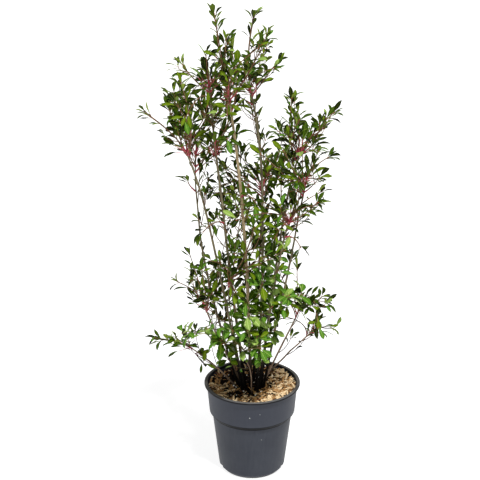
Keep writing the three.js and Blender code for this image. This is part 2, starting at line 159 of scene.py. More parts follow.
class Draft:
    """A material in the making. Each step adds a node and returns what comes out of it."""

    def __init__(self, name: str, roughness: float, sockets: Mapping[str, object]) -> None:
        """Starts the material.

        Args:
            name: Its name.
            roughness: How matt it is.
            sockets: Other values of its shader's sockets.
        """
        self.made = bpy.data.materials.new(name)
        self.made.use_nodes = True
        self.tree = self.made.node_tree
        self.shader = self.tree.nodes["Principled BSDF"]
        for key, value in {"Roughness": roughness, **sockets}.items():
            self.shader.inputs[key].default_value = value

    def place(self) -> Socket:
        """Returns the object's own coordinates."""
        return add_node(self.tree, "TexCoord", {}).outputs["Object"]

    def part(self, place: Socket, axis: str) -> Socket:
        """Returns one coordinate of a place."""
        return add_node(self.tree, "SeparateXYZ", {0: place}).outputs[axis]

    def drawn(self, place: Socket, *scale: float) -> Socket:
        """Returns a place scaled by axis, so that a pattern on it runs one way."""
        return add_node(self.tree, "Mapping", {"Vector": place, "Scale": scale}).outputs[0]

    def noise(self, place: Socket, size: float, detail: float, **more: float) -> Socket:
        """Returns a noise whose cells have a size in metres."""
        inputs = {"Vector": place, "Scale": 1 / size, "Detail": detail, **more}
        return add_node(self.tree, "TexNoise", inputs).outputs["Fac"]

    def calc(self, operation: str, *values: Socket | float) -> Socket:
        """Returns the result of one operation on numbers."""
        inputs = dict(enumerate(values))
        return add_node(self.tree, "Math", inputs, operation=operation).outputs[0]

    def fade(self, value: Socket, low: float, high: float, start: float, end: float) -> Socket:
        """Returns a number that goes from start to end while the value goes from low to high."""
        ends = {"From Min": low, "From Max": high, "To Min": start, "To Max": end}
        return add_node(self.tree, "MapRange", {"Value": value, **ends}).outputs[0]

    def ramp(self, value: Socket, *stops: tuple[float, str]) -> Socket:
        """Returns the colour between two stops that belongs to a value."""
        node = add_node(self.tree, "ValToRGB", {"Fac": value})
        for stop, (place, code) in zip(node.color_ramp.elements, stops):
            stop.position, stop.color = place, linear(code)
        return node.outputs[0]

    def mix(self, share: Socket, under: Socket | Colour, code: str) -> Socket:
        """Returns a colour with a share of another laid over it."""
        inputs = {0: share, 6: under, 7: linear(code)}
        return add_node(self.tree, "Mix", inputs, data_type="RGBA").outputs[2]

    def done(
        self, links: Mapping[str, Socket], height: Socket, strength: float, distance: float,
        invert: bool = False,
    ) -> bpy.types.Material:
        """Links the shader and gives the material its relief.

        Args:
            links: What the shader's sockets read.
            height: The height of the relief.
            strength: How strong it looks.
            distance: How high it is.
            invert: Whether it goes inwards.

        Returns:
            The material.
        """
        inputs = {"Strength": strength, "Distance": distance, "Height": height}
        bump = add_node(self.tree, "Bump", inputs, invert=invert)
        for key, socket in {**links, "Normal": bump.outputs[0]}.items():
            self.tree.links.new(socket, self.shader.inputs[key])
        return self.made


@dataclass(frozen=True)
class MouldedPolypropylene:
    """Injection-moulded recycled polypropylene: slate grey, softly glossy, a little cloudy and
    scuffed, with a fine moulded grain."""

    name: str = "polypropylene_moulded"
    body: str = "#30333b"
    cloud: str = "#393c43"
    scuff: str = "#585b61"
    # Colour of the painted shade under the collar and the lip, and of the dark band at the foot
    dark_band_colour: str = "#040405"
    # Painted highlight: the paler colour of the lip's top, where light falls on it
    painted_lip_highlight: str = "#6a665f"
    # Painted light: the paler colour of the collar, which stands clear of its neighbours' shade
    painted_collar_light: str = "#3b3e47"
    # Height and half width of the painted shade under the collar and under the lip, and of the dark
    # band at the foot
    dark_bands: tuple[Range, ...] = (
        (123.3 * MM, 4.8 * MM), (183.8 * MM, 2.6 * MM), (0.0, 3.4 * MM)
    )
    collar_height: float = 126.5 * MM
    edge_height: float = 186.2 * MM
    cloud_size: float = 55 * MM
    streak_size: float = 5 * MM
    scuff_size: float = 9 * MM
    grain_size: float = 1.1 * MM

    def material(self) -> bpy.types.Material:
        """Returns the material, with clouds and streaks from the melt, pale scuffs, a collar
        painted paler as painted light, painted shade under the collar and the lip, a dark band at
        the foot, a painted highlight on the top of the lip, and grain."""
        made = Draft(self.name, 0.5, {"IOR": 1.49, SPECULAR: 0.15})
        place = made.place()
        clouds = made.noise(place, self.cloud_size, 4.0)
        streaks = made.noise(made.drawn(place, 1, 1, 0.12), self.streak_size, 3.0)
        both = made.calc("MULTIPLY_ADD", streaks, 0.45, clouds)
        colour = made.ramp(both, (0.55, self.body), (0.95, self.cloud))
        # Scuffs are short and rare: the top end of a noise
        wear = made.noise(place, self.scuff_size, 6.0, Roughness=0.7, Distortion=0.8)
        colour = made.mix(made.fade(wear, 0.66, 0.8, 0, 0.45), colour, self.scuff)
        # Painted light: the collar stands clear of its neighbours' shade, so it is painted a little
        # paler
        height, top, edge = made.part(place, "Z"), self.collar_height, self.edge_height
        colour = made.mix(made.fade(height, top, top + 4 * MM, 0, 0.5), colour, self.painted_collar_light)
        # Painted shade under the collar and under the lip, and a dark band at the foot
        for middle, half in self.dark_bands:
            away = made.calc("ABSOLUTE", made.calc("SUBTRACT", height, middle))
            darkened = made.fade(away, half - 0.8 * MM, half + 0.3 * MM, 0.96, 0)
            colour = made.mix(darkened, colour, self.dark_band_colour)
        # Painted highlight: the top of the lip is painted paler, where the light falls on it
        lip_highlight = made.fade(height, edge, edge + 0.8 * MM, 0, 0.6)
        colour = made.mix(lip_highlight, colour, self.painted_lip_highlight)
        links = {"Base Color": colour, "Roughness": made.fade(clouds, 0, 1, 0.4, 0.62)}
        return made.done(links, made.noise(place, self.grain_size, 2.0), 0.25, 0.12 * MM)


@dataclass(frozen=True)
class Crumbly:
    """Peat compost, bark crumb or perlite: matt, pitted grains with a spread of shades."""

    name: str
    dark: str
    pale: str
    grain_size: float
    relief: float

    def material(self) -> bpy.types.Material:
        """Returns the material, mottled and pitted at the size of its grains."""
        made = Draft(self.name, 0.95, {SPECULAR: 0.12})
        grains = made.noise(made.place(), self.grain_size, 6.0, Roughness=0.65)
        colour = made.ramp(grains, (0.38, self.dark), (0.68, self.pale))
        return made.done({"Base Color": colour}, grains, 0.8, self.relief)


@dataclass(frozen=True)
class SplitSoftwood:
    """Shredded softwood: matt, with long fibres that run the way of each chip."""

    MAP: ClassVar[str] = "fibre"
    name: str
    dark: str
    pale: str
    fibre_size: float = 0.7 * MM

    def material(self) -> bpy.types.Material:
        """Returns the material, with fibres along the chip's own map, which is in metres."""
        made = Draft(self.name, 0.8, {SPECULAR: 0.2})
        place = add_node(made.tree, "UVMap", {}, uv_map=self.MAP).outputs[0]
        fibres = made.noise(made.drawn(place, 1, 0.12, 1), self.fibre_size, 4.0, Roughness=0.6)
        colour = made.ramp(fibres, (0.32, self.dark), (0.66, self.pale))
        return made.done({"Base Color": colour}, fibres, 0.6, 0.3 * MM)


@dataclass(frozen=True)
class Bark:
    """Bark of a thin stem: matt, with fissures that run along it and pale pores across it."""

    name: str
    dark: str
    pale: str
    # Painted shade: the colour laid on the bark low down
    foot: str
    fissure_size: float
    relief: float
    roughness: float = 0.78
    # The heights between which the painted shade fades out upwards
    painted_shade_height: Range = (222 * MM, 350 * MM)
    pore_spacing: float = 3.2 * MM

    def material(self) -> bpy.types.Material:
        """Returns the material. The pattern follows each stem's own straightened place."""
        made = Draft(self.name, self.roughness, {SPECULAR: 0.08})
        place = add_node(made.tree, "Attribute", {}, attribute_name=BARK_PLACE)
        place = place.outputs["Vector"]
        along = made.drawn(place, 1, 1, 0.14)
        fissures = made.noise(along, self.fissure_size, 5.0, Roughness=0.65)
        colour = made.ramp(fissures, (0.36, self.dark), (0.66, self.pale))
        # Pores are about 1 mm across, one in every 5 mm or so
        inputs = {"Vector": place, "Scale": 1 / self.pore_spacing}
        pores = add_node(made.tree, "TexVoronoi", inputs).outputs["Distance"]
        colour = made.mix(made.fade(pores, 0.12, 0.2, 0.5, 0), colour, self.pale)
        # Painted shade: the bark is painted darker near the ground, where the crown's shade falls
        height = made.part(made.place(), "Z")
        colour = made.mix(made.fade(height, *self.painted_shade_height, 1, 0), colour, self.foot)
        return made.done({"Base Color": colour}, fissures, 0.7, self.relief)


@dataclass(frozen=True)
class LeafSkin:
    """One face of a living leaf: a waxy or a downy skin with a paler midrib and side veins."""

    name: str
    blade: str
    rib: str
    roughness: float
    middle: float
    vein_pairs: int = 7

    def material(self) -> bpy.types.Material:
        """Returns the material. Its veins read the leaf's own map, the same for every leaf."""
        made = Draft(self.name, self.roughness, {"IOR": 1.42, SPECULAR: 0.08})
        place = add_node(made.tree, "UVMap", {}, uv_map=LeafMould.MAP).outputs[0]
        away = made.calc("SUBTRACT", made.part(place, "X"), self.middle)
        away = made.calc("ABSOLUTE", away)
        rib = made.fade(away, 0.008, 0.022, 0.75, 0)
        # Pairs of side veins leave the midrib and bend towards the tip
        slant = made.calc("MULTIPLY_ADD", away, -1.1, made.part(place, "Y"))
        wave = made.calc("SINE", made.calc("MULTIPLY", slant, self.vein_pairs * 2 * math.pi))
        lines = made.calc("MAXIMUM", rib, made.fade(wave, 0.8, 1, 0, 0.22))
        colour = made.mix(lines, linear(self.blade), self.rib)
        return made.done({"Base Color": colour}, lines, 0.5, 0.4 * MM, invert=True)


@dataclass(frozen=True)
class OpalFloor:
    """The studio's floor: opal acrylic, lit from below so that shadows on it stay faint."""

    name: str = "studio_floor_opal_acrylic"
    roll_size: float = 1000 / 90 * MM

    def material(self) -> bpy.types.Material:
        """Returns the material, with the faint relief of a rolled sheet."""
        made = Draft(self.name, 0.9, {
            "Base Color": linear("#9a9a9a"), "Emission Color": linear("#ffffff"),
            "Emission Strength": 0.85,
        })
        rolled = made.noise(made.place(), self.roll_size, 2.0)
        return made.done({}, rolled, 0.05, 0.5 * MM)


def finish_piece(piece: bpy.types.Object, nodes: Sequence[str] = ()) -> None:
    """Sets a piece on the model and reports it.

    Args:
        piece: The finished piece.
        nodes: The CAD nodes that it stands for.
    """
    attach(piece, "root")
    if nodes:
        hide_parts(*nodes)
    triangles = len(piece.data.loops) - 2 * len(piece.data.polygons)
    log.info("%s: %d triangles", piece.name, triangles)


def add_object(name: str, data: bpy.types.ID) -> bpy.types.Object:
    """Returns a new object of the scene that shows some data."""
    made = bpy.data.objects.new(name, data)
    bpy.context.scene.collection.objects.link(made)
    return made


def set_materials(piece: bpy.types.Object, *materials: bpy.types.Material) -> None:
    """Gives a piece these materials and no others."""
    piece.data.materials.clear()
    for material in materials:
        piece.data.materials.append(material)


def deselect() -> None:
    """Leaves object mode as the only mode, with nothing selected."""
    if bpy.context.object and bpy.context.object.mode != "OBJECT":
        bpy.ops.object.mode_set(mode="OBJECT")
    bpy.ops.object.select_all(action="DESELECT")


def apply_modifier(piece: bpy.types.Object, kind: str, **settings: object) -> None:
    """Adds a modifier to a piece and applies it.

    Args:
        piece: The piece.
        kind: The modifier's type.
        **settings: Its properties.
    """
    deselect()
    bpy.context.view_layer.objects.active = piece
    piece.select_set(True)
    modifier = piece.modifiers.new(kind.lower(), kind)
    for key, value in settings.items():
        setattr(modifier, key, value)
    bpy.ops.object.modifier_apply(modifier=modifier.name)


def displace(
    piece: bpy.types.Object, name: str, size: float, depth: int, **settings: object
) -> None:
    """Gives a piece relief from a cloudy texture.

    Args:
        piece: The piece.
        name: The texture's name.
        size: The size of its clouds.
        depth: How many finer layers they have.
        **settings: The modifier's properties.
    """
    texture = bpy.data.textures.new(name, "CLOUDS")
    texture.noise_scale, texture.noise_depth = size, depth
    apply_modifier(piece, "DISPLACE", texture=texture, **settings)


def close_end() -> None:
    """Closes the selected ring of edges with faces that meet at its centre."""
    bpy.ops.mesh.extrude_region_move(TRANSFORM_OT_translate={"value": (0, 0, 0)})
    bpy.ops.mesh.merge(type="CENTER")


def turned_piece(name: str, outline: Sequence[Range], sides: int) -> bpy.types.Object:
    """Models a round piece by hand: a circle, extruded and scaled level by level.

    Args:
        name: The piece's name.
        outline: Radius and height of each level, round a closed section from pole to pole.
        sides: How many sides the circle has.

    Returns:
        The piece, closed at both poles, with its normals outwards.
    """
    deselect()
    bpy.ops.mesh.primitive_circle_add(vertices=sides, radius=outline[0][0], location=(0, 0, 0))
    piece = bpy.context.object
    piece.name = piece.data.name = name
    bpy.ops.object.mode_set(mode="EDIT")
    bpy.ops.mesh.select_all(action="SELECT")
    bpy.ops.transform.translate(value=(0, 0, outline[0][1]))
    for (radius, height), (wider, higher) in zip(outline, outline[1:]):
        bpy.ops.mesh.extrude_region_move(
            TRANSFORM_OT_translate={"value": (0, 0, higher - height)}
        )
        scale = wider / radius
        bpy.ops.transform.resize(value=(scale, scale, 1), center_override=(0, 0, higher))
    close_end()
    bpy.ops.mesh.select_all(action="DESELECT")
    bpy.ops.object.mode_set(mode="OBJECT")
    for vertex in piece.data.vertices[:sides]:
        vertex.select = True
    bpy.ops.object.mode_set(mode="EDIT")
    bpy.ops.mesh.select_mode(type="VERT")
    close_end()
    bpy.ops.mesh.select_all(action="SELECT")
    bpy.ops.mesh.normals_make_consistent(inside=False)
    bpy.ops.object.mode_set(mode="OBJECT")
    return piece


class MeshBuffer:
    """Collects points and faces of many small things, and joins them into one mesh."""

    def __init__(self) -> None:
        """Starts empty."""
        self.rows: dict[str, list[np.ndarray]] = defaultdict(list)
        self.count = 0

    def add(
        self,
        points: np.ndarray,
        faces: Sequence[Sequence[int]],
        corner_map: np.ndarray | None = None,
        places: np.ndarray | None = None,
        slots: Sequence[int] | None = None,
    ) -> None:
        """Adds copies of one shape.

        Args:
            points: The points of each copy, as copies x points x 3.
            faces: The faces of one copy, by point.
            corner_map: The map's place of each corner, as copies x corners x 2 or corners x 2.
            places: The straightened place of each point, as copies x points x 3.
            slots: The material slot of each face of one copy.
        """
        copies, each = points.shape[:2]
        flat = np.concatenate([np.asarray(face) for face in faces])
        offsets = self.count + each * np.arange(copies)[:, None]
        self.rows["points"].append(points.reshape(-1, 3))
        self.rows["corners"].append((flat[None, :] + offsets).reshape(-1))
        self.rows["sizes"].append(np.tile([len(face) for face in faces], copies))
        if corner_map is not None:
            full = np.broadcast_to(corner_map, (copies, len(flat), 2))
            self.rows["map"].append(full.reshape(-1, 2))
        if places is not None:
            self.rows["places"].append(places.reshape(-1, 3))
        if slots is not None:
            self.rows["slots"].append(np.tile(slots, copies))
        self.count += copies * each

    def add_tubes(self, sides: int, levels: Sequence[Level]) -> None:
        """Adds closed tubes, one for each row of their levels' arrays.

        Args:
            sides: How many sides each has.
            levels: Their levels, from end to end.
        """
        turn = np.arange(sides) * FULL_TURN / sides
        points, places = [], []
        for centre, side, other, radius, height in levels:
            x, y = np.cos(turn) * radius, np.sin(turn) * radius
            spin = side[:, None] * x[:, None] + other[:, None] * y[:, None]
            points.append(centre[:, None] + spin)
            flat = np.broadcast_arrays(x, y, np.reshape(height, (-1, 1)))
            places.append(np.stack(flat, -1))
        faces = tube_faces(sides, len(levels))
        self.add(np.concatenate(points, 1), faces, None, np.concatenate(places, 1))

    def build(
        self, name: str, materials: Sequence[bpy.types.Material], map_name: str = "",
        smooth: bool = True,
    ) -> bpy.types.Object:
        """Makes the piece.

        Args:
            name: The piece's name.
            materials: Its materials.
            map_name: The name of its map, if it has one.
            smooth: Whether its faces look smooth.

        Returns:
            The piece.
        """
        rows = {key: np.concatenate(value) for key, value in self.rows.items()}
        sizes = rows["sizes"]
        mesh = bpy.data.meshes.new(name)
        mesh.vertices.add(len(rows["points"]))
        mesh.loops.add(len(rows["corners"]))
        mesh.polygons.add(len(sizes))
        put(mesh.vertices, "co", rows["points"])
        put(mesh.loops, "vertex_index", rows["corners"])
        put(mesh.polygons, "loop_start", np.concatenate([[0], np.cumsum(sizes)[:-1]]))
        mesh.update(calc_edges=True)
        mesh.polygons.foreach_set("use_smooth", np.full(len(sizes), smooth))
        if "slots" in rows:
            put(mesh.polygons, "material_index", rows["slots"])
        if "map" in rows:
            put(mesh.uv_layers.new(name=map_name).data, "uv", rows["map"])
        if "places" in rows:
            layer = mesh.attributes.new(BARK_PLACE, "FLOAT_VECTOR", "POINT")
            put(layer.data, "vector", rows["places"])
        for material in materials:
            mesh.materials.append(material)
        mesh.validate()
        return add_object(name, mesh)

    def finish(
        self, name: str, finish: "Crumbly | Bark", slot: str, nodes: Sequence[str] = ()
    ) -> None:
        """Makes the piece in one finish and sets it on the model.

        Args:
            name: The piece's name.
            finish: Its finish.
            slot: Not used.
            nodes: The CAD nodes that it stands for.
        """
        finish_piece(self.build(name, [finish.material()]), nodes)


def tube_faces(sides: int, levels: int) -> list[tuple[int, ...]]:
    """Works out the faces of a closed tube.

    Args:
        sides: How many sides it has.
        levels: How many rings of points.

    Returns:
        Its two ends, then its sides from level to level, by point.
    """
    last = (levels - 1) * sides
    faces: list[tuple[int, ...]] = [
        tuple(range(sides))[::-1], tuple(range(last, last + sides))
    ]
    for start in range(0, last, sides):
        for i in range(sides):
            j = (i + 1) % sides
            faces.append((start + i, start + j, start + j + sides, start + i + sides))
    return faces


def put(items: bpy.types.bpy_prop_collection, key: str, values: np.ndarray) -> None:
    """Sets one property of all items of a mesh."""
    kind = np.float32 if values.dtype.kind == "f" else np.int32
    items.foreach_set(key, values.astype(kind).ravel())


@dataclass
class NurseryPot:
    """The pot: a tapering wall, a wider collar above a slanting step, and a rolled lip."""

    # Turn in degrees, height and size in millimetres of each speck of lime
    SPECKS: ClassVar[tuple[tuple[float, float, float], ...]] = (
        (-3.0, 151, 1.1), (10.0, 158.5, 0.8), (14.0, 96, 0.7)
    )
    sides: int = 160
    wall: float = 2 * MM
    floor: float = 3 * MM
    height: float = 187 * MM
    foot_radius: float = 59.4 * MM
    wall_foot_radius: float = 66.2 * MM
    wall_foot_height: float = 8 * MM
    step_radius: float = 79.4 * MM
    step_height: float = 120.5 * MM
    collar_radius: float = 85.2 * MM
    collar_height: float = 126.5 * MM
    neck_radius: float = 90 * MM
    lip_radius: float = 95 * MM
    lip_depth: float = 4.6 * MM
    lip_round: float = 1.2 * MM
    notch_turns: tuple[float, ...] = (22.5, 157.5, 202.5, 337.5)
    notch_width: float = 14 * MM
    notch_height: float = 11 * MM
    notch_depth: float = 8 * MM
    notch_round: float = 1.5 * MM
    edge_round: float = 0.6 * MM
    pole: float = 6 * MM

    def rise(self, inwards: float = 0.0) -> list[Range]:
        """Returns radius and height of the wall at its foot, its step and its collar."""
        return [
            (self.wall_foot_radius - inwards, self.wall_foot_height),
            (self.step_radius - inwards, self.step_height),
            (self.collar_radius - inwards, self.collar_height),
        ]

    def wall_radius(self, height: float) -> float:
        """Returns the outer radius of the wall at a height."""
        neck = (self.neck_radius, self.height - self.lip_depth)
        radii, heights = zip(*self.rise(), neck)
        return float(np.interp(height, heights, radii))

    def outline(self) -> list[Range]:
        """Returns the wall's section, from the pole of the underside to that of the floor."""
        neck, top = self.height - self.lip_depth, self.height
        wall, ease = self.wall, self.lip_round
        return [
            (self.pole, 0),
            (self.foot_radius, 0),
            *self.rise(),
            (self.neck_radius, neck),
            (self.lip_radius, neck + ease),
            (self.lip_radius, top - ease),
            (self.lip_radius - ease, top),
            (self.neck_radius - wall + ease, top),
            (self.neck_radius - wall, top - ease),
            *reversed(self.rise(wall)),
            (self.foot_radius - wall, self.floor),
            (self.pole, self.floor),
        ]

    def notch_cutter(self) -> bpy.types.Object:
        """Returns the boxes that cut the drainage notches, joined, one for each notch."""
        reach = self.wall_foot_radius - self.foot_radius + self.notch_depth
        middle = self.foot_radius - self.notch_depth + reach
        deselect()
        made = []
        for turn in self.notch_turns:
            bpy.ops.mesh.primitive_cube_add(size=1, location=(0, 0, 0))
            box = bpy.context.object
            bpy.ops.object.mode_set(mode="EDIT")
            bpy.ops.mesh.select_all(action="SELECT")
            bpy.ops.transform.resize(
                value=(reach * 2, self.notch_width, self.notch_height * 2),
                center_override=(0, 0, 0),
            )
            bpy.ops.transform.translate(value=(middle, 0, 0))
            bpy.ops.mesh.bevel(offset=self.notch_round, segments=3, affect="EDGES")
            bpy.ops.object.mode_set(mode="OBJECT")
            box.data.transform(Matrix.Rotation(math.radians(turn), 4, "Z"))
            made.append(box)
        deselect()
        for box in made:
            box.select_set(True)
        bpy.context.view_layer.objects.active = made[0]
        bpy.ops.object.join()
        return made[0]

    def build(self) -> None:
        """Makes the pot, its notches cut and its edges rounded."""
        pot = turned_piece("pot_shell", self.outline(), self.sides)
        cutter = self.notch_cutter()
        apply_modifier(pot, "BOOLEAN", object=cutter, operation="DIFFERENCE", solver="EXACT")
        bpy.data.objects.remove(cutter)
        apply_modifier(
            pot, "BEVEL", width=self.edge_round, segments=3, limit_method="ANGLE",
            angle_limit=math.radians(24), use_clamp_overlap=True,
        )
        bpy.ops.object.shade_smooth_by_angle(angle=math.radians(35))
        # Painted shade for the inside of the notches: near-black
        notch_painted_shade = Crumbly(
            "soil_stained_polypropylene", "#060607", "#14110f", 3 * MM, 0.1 * MM
        )
        set_materials(pot, MouldedPolypropylene().material(), notch_painted_shade.material())
        # Painted shade: the cut faces of the notches and the low inside of the pot are painted
        # near-black, as the shade inside them
        slope = (self.wall_foot_radius - self.foot_radius) / self.wall_foot_height
        for face in pot.data.polygons:
            outer = min(self.foot_radius + slope * face.center.z, self.wall_foot_radius)
            inside = face.center.xy.length < outer - self.edge_round
            low = 0.2 * MM < face.center.z < self.notch_height + self.edge_round
            face.material_index = int(inside and low)
        finish_piece(pot, ["pot"])

    def specks(self) -> None:
        """Makes the few pale specks of lime on the front of the pot."""
        buffer = MeshBuffer()
        points, faces = _ball()
        for turn, height, size in self.SPECKS:
            angle, reach = math.radians(turn), self.wall_radius(height * MM)
            flat = points * np.array([1.0, 0.25, 1.0]) * size * MM
            turned = _turned(flat[None], *np.array([[angle], [0.0], [0.0]]))
            place = (math.sin(angle) * reach, -math.cos(angle) * reach, height * MM)
            buffer.add(turned + np.array(place), faces)
        finish = Crumbly("lime_splash", "#8d918f", "#b9bdb8", 1 * MM, 0.05 * MM)
        buffer.finish("lime_specks", finish, "pot_plastic")


class Grain(Enum):
    """What lies on the compost, from dark to pale: its name, dark and pale colours."""

    SHADE = ("chips_dark", "#120c08", "#2e1f15")
    RUST = ("chips_rust", "#3c2414", "#744828")
    TAN = ("chips_tan", "#7c5834", "#bc925e")
    STRAW = ("chips_straw", "#bc9664", "#f6e2bc")


@dataclass
class CompostBed:
    """The compost that fills the pot, and the shredded mulch that lies on it."""

    # Where few chips lie, round the canes, at the left and at the back: centre and size in
    # millimetres, and depth. The chips that do lie there are also painted darker, as painted shade.
    BARE: ClassVar[tuple[tuple[float, float, float, float], ...]] = (
        (-6, 4, 30, 0.75), (-34, -44, 19, 0.9), (-42, 34, 30, 0.8), (14, 58, 32, 0.8),
        (-4, -30, 16, 0.3), (30, 14, 14, 0.25),
    )
    # Waves that gather chips of one shade: their way in X and Y, size in millimetres and phase
    WAVES: ClassVar[tuple[tuple[float, float, float, float], ...]] = (
        (1, 0, 2.7, 1.7), (0, 1, 2.9, 0.4), (1, -1, 4.3, 0), (1, 1, 3.1, 2),
    )
    # Where one shade of chips gives way to the next paler one
    SHADES: ClassVar[tuple[float, ...]] = (0.16, 0.42, 0.84)
    pot: NurseryPot
    feet: list[Range]
    top: float = 170 * MM
    edge_rise: float = 3.5 * MM
    level_radius: float = 48 * MM
    gap: float = 0.3 * MM
    sides: int = 96
    rings: int = 24
    roughness: float = 6 * MM
    lump_size: float = 9 * MM
    heap: float = 4 * MM
    foot_clear: float = 5.5 * MM
    chips: int = 2000
    chip_length: Range = (5 * MM, 22 * MM)
    chip_width: Range = (1.3 * MM, 4.2 * MM)
    chip_lift: Range = (0.2 * MM, 5.5 * MM)
    crumbs: int = 1700
    perlite: int = 44
    seed: int = 4201

    def edge_radius(self) -> float:
        """Returns the radius at which the bed meets the pot's wall."""
        outer = self.pot.wall_radius(self.top + self.edge_rise)
        return outer - self.pot.wall - self.gap

    def surface(self, radius: np.ndarray) -> np.ndarray:
        """Returns the bed's height at each radius, before its lumps."""
        share = (radius - self.level_radius) / (self.edge_radius() - self.level_radius)
        return self.top + self.edge_rise * np.clip(share, 0, 1)

    def bed(self) -> None:
        """Makes the bed, a closed body with a lumpy top."""
        pot, gap = self.pot, self.pot.wall + self.gap
        low, edge = pot.floor + self.gap, self.edge_radius()
        rings = np.linspace(edge, pot.pole / 2, self.rings)
        outline = [
            (pot.pole, low), (pot.foot_radius - gap - self.gap, low), *pot.rise(gap),
            *zip(rings.tolist(), self.surface(rings).tolist()),
        ]
        piece = turned_piece("compost_bed", outline, self.sides)
        group = piece.vertex_groups.new(name="top")
        group.add([
            v.index for v in piece.data.vertices
            if v.co.z > self.top - 20 * MM and v.co.xy.length < edge - 2 * MM
        ], 1.0, "REPLACE")
        displace(
            piece, "compost_lumps", self.lump_size, 3, direction="Z", strength=self.roughness,
            mid_level=0.6, vertex_group="top",
        )
        bpy.ops.object.shade_smooth_by_angle(angle=math.radians(50))
        piece.vertex_groups.clear()
        finish = Crumbly("compost_peat", "#080504", "#20150f", 2.4 * MM, 1.2 * MM)
        set_materials(piece, finish.material())
        finish_piece(piece, ["compost"])

    def scattered(self, rng: np.random.Generator, count: int, margin: float) -> np.ndarray:
        """Deals places out over the bed, clear of the canes.

        Args:
            rng: The seeded source of chance.
            count: How many places.
            margin: How far they keep from the wall.

        Returns:
            The places, as count x 2.
        """
        places = np.zeros((0, 2))
        while len(places) < count:
            radius = (self.edge_radius() - margin) * np.sqrt(rng.random(count))
            turn = rng.random(count) * FULL_TURN
            tried = np.stack([radius * np.cos(turn), radius * np.sin(turn)], 1)
            gaps = np.linalg.norm(tried[:, None] - np.array(self.feet), axis=2).min(1)
            places = np.concatenate([places, tried[gaps > self.foot_clear]])
        return places[:count]

    def bareness(self, places: np.ndarray) -> np.ndarray:
        """Returns how few chips lie at each place."""
        bare = np.zeros(len(places))
        for x, y, size, depth in self.BARE:
            away = np.hypot(places[:, 0] / MM - x, places[:, 1] / MM - y) / size
            bare += depth * np.exp(-(away**2))
        return bare

    def chip_shapes(
        self, rng: np.random.Generator, centre: np.ndarray, most: float
    ) -> tuple[np.ndarray, np.ndarray]:
        """Shapes the chips, each a bowed splinter with four corners at its ends and middle.

        Args:
            rng: The seeded source of chance.
            centre: The chips' places, as count x 2.
            most: The radius within which they stay.

        Returns:
            Their points, as count x 12 x 3, and the place of each point on the fibres' map.
        """
        count, radius = len(centre), np.linalg.norm(centre, axis=1)
        length = rng.gamma(6.0, 1.9 * MM, count).clip(*self.chip_length)
        width = (length * rng.uniform(0.14, 0.34, count)).clip(*self.chip_width)
        thick = width * rng.uniform(0.3, 0.6, count)
        ends = rng.uniform(0.25, 0.85, (count, 2))
        sway = rng.normal(0, 0.12, count) * length
        arch = rng.normal(0, 0.07, count) * length
        yaw = rng.random(count) * FULL_TURN
        pitch, roll = rng.normal(0, 0.4, count), rng.normal(0, 0.55, count)
        wide = np.stack([ends[:, 0], np.ones(count), ends[:, 1]], 1) * width[:, None] / 2
        right, up = np.tile([(-1, -1), (1, -1), (1, 1), (-1, 1)], (3, 1)).T
        bow = np.repeat([0.0, 1.0, 0.0], 4)
        x = np.repeat([-0.5, 0.0, 0.5], 4) * length[:, None]
        y = np.repeat(wide, 4, axis=1) * right + sway[:, None] * bow
        z = thick[:, None] / 2 * up + arch[:, None] * bow
        shapes = _turned(np.stack([x, y, z], 2), yaw, pitch, roll)
        base = self.surface(radius) + rng.uniform(*self.chip_lift, count)
        base += self.heap * (radius / self.edge_radius()) ** 3
        shapes += np.column_stack([centre, base])[:, None]
        # A chip that would pass through the wall is drawn in
        far = np.linalg.norm(shapes[:, :, :2], axis=2).max(1)
        drawn = np.clip(far - most, 0, None) / np.maximum(radius, MM)
        shapes[:, :, :2] -= (centre * drawn[:, None])[:, None]
        return shapes, np.stack([y, x], 2) + rng.random((count, 1, 2)) * 3.0

    def mulch(self) -> None:
        """Makes the wood chips, each shade a piece. Their colours carry painted shade: paler at the
        right and front, darker at the back and the left where the plant's shade falls, and darker
        still where the compost shows round the canes."""
        rng = np.random.default_rng(self.seed)
        centre = self.scattered(rng, self.chips, 2 * MM)
        most = self.edge_radius() - 0.5 * MM
        shapes, spots = self.chip_shapes(rng, centre, most)
        faces = tube_faces(4, 3)
        spots = spots[:, np.concatenate(faces)]
        x, y = centre.T
        # Painted shade: chips are painted paler to the right and front and darker to the left, the
        # back and in the bare patches; the waves and the random part are the chips' own mixed tone
        tone_and_shade = 0.8 + 0.2 * x / most - 0.1 * y / most - self.bareness(centre)
        waves = sum(np.sin((a * x + b * y) / (size * MM) + c) for a, b, size, c in self.WAVES)
        tone_and_shade += 0.17 * waves + rng.normal(0, 0.3, len(centre))
        kinds = np.digitize(tone_and_shade, self.SHADES)
        kept = rng.random(len(centre)) < np.clip(tone_and_shade * 1.1, 0.04, 0.84)
        for index, grain in enumerate(Grain):
            chosen = (kinds == index) & kept
            buffer = MeshBuffer()
            buffer.add(shapes[chosen], faces, spots[chosen])
            name, dark, pale = grain.value
            finish = SplitSoftwood(f"softwood_shredded_{grain.name.lower()}", dark, pale)
            piece = buffer.build(name, [finish.material()], finish.MAP, smooth=False)
            finish_piece(piece)

    def grains(self) -> None:
        """Makes the dark crumbs of compost and the white grains of perlite on the bed."""
        rng = np.random.default_rng(self.seed + 1)
        points, faces = _ball()
        # Name, count, limits of the size, height above the bed, how evenly spread, and finish
        kinds = [
            ("compost_crumbs", self.crumbs, (0.8 * MM, 3.0 * MM), 5.0 * MM, 9.0,
             Crumbly("compost_crumb", "#080504", "#281a12", 1.6 * MM, 0.6 * MM)),
            ("perlite_grains", self.perlite, (1.2 * MM, 2.2 * MM), 9.0 * MM, 0.8,
             Crumbly("perlite_expanded", "#dad6cc", "#ffffff", 0.8 * MM, 0.3 * MM)),
        ]
        for name, count, size, lift, even, finish in kinds:
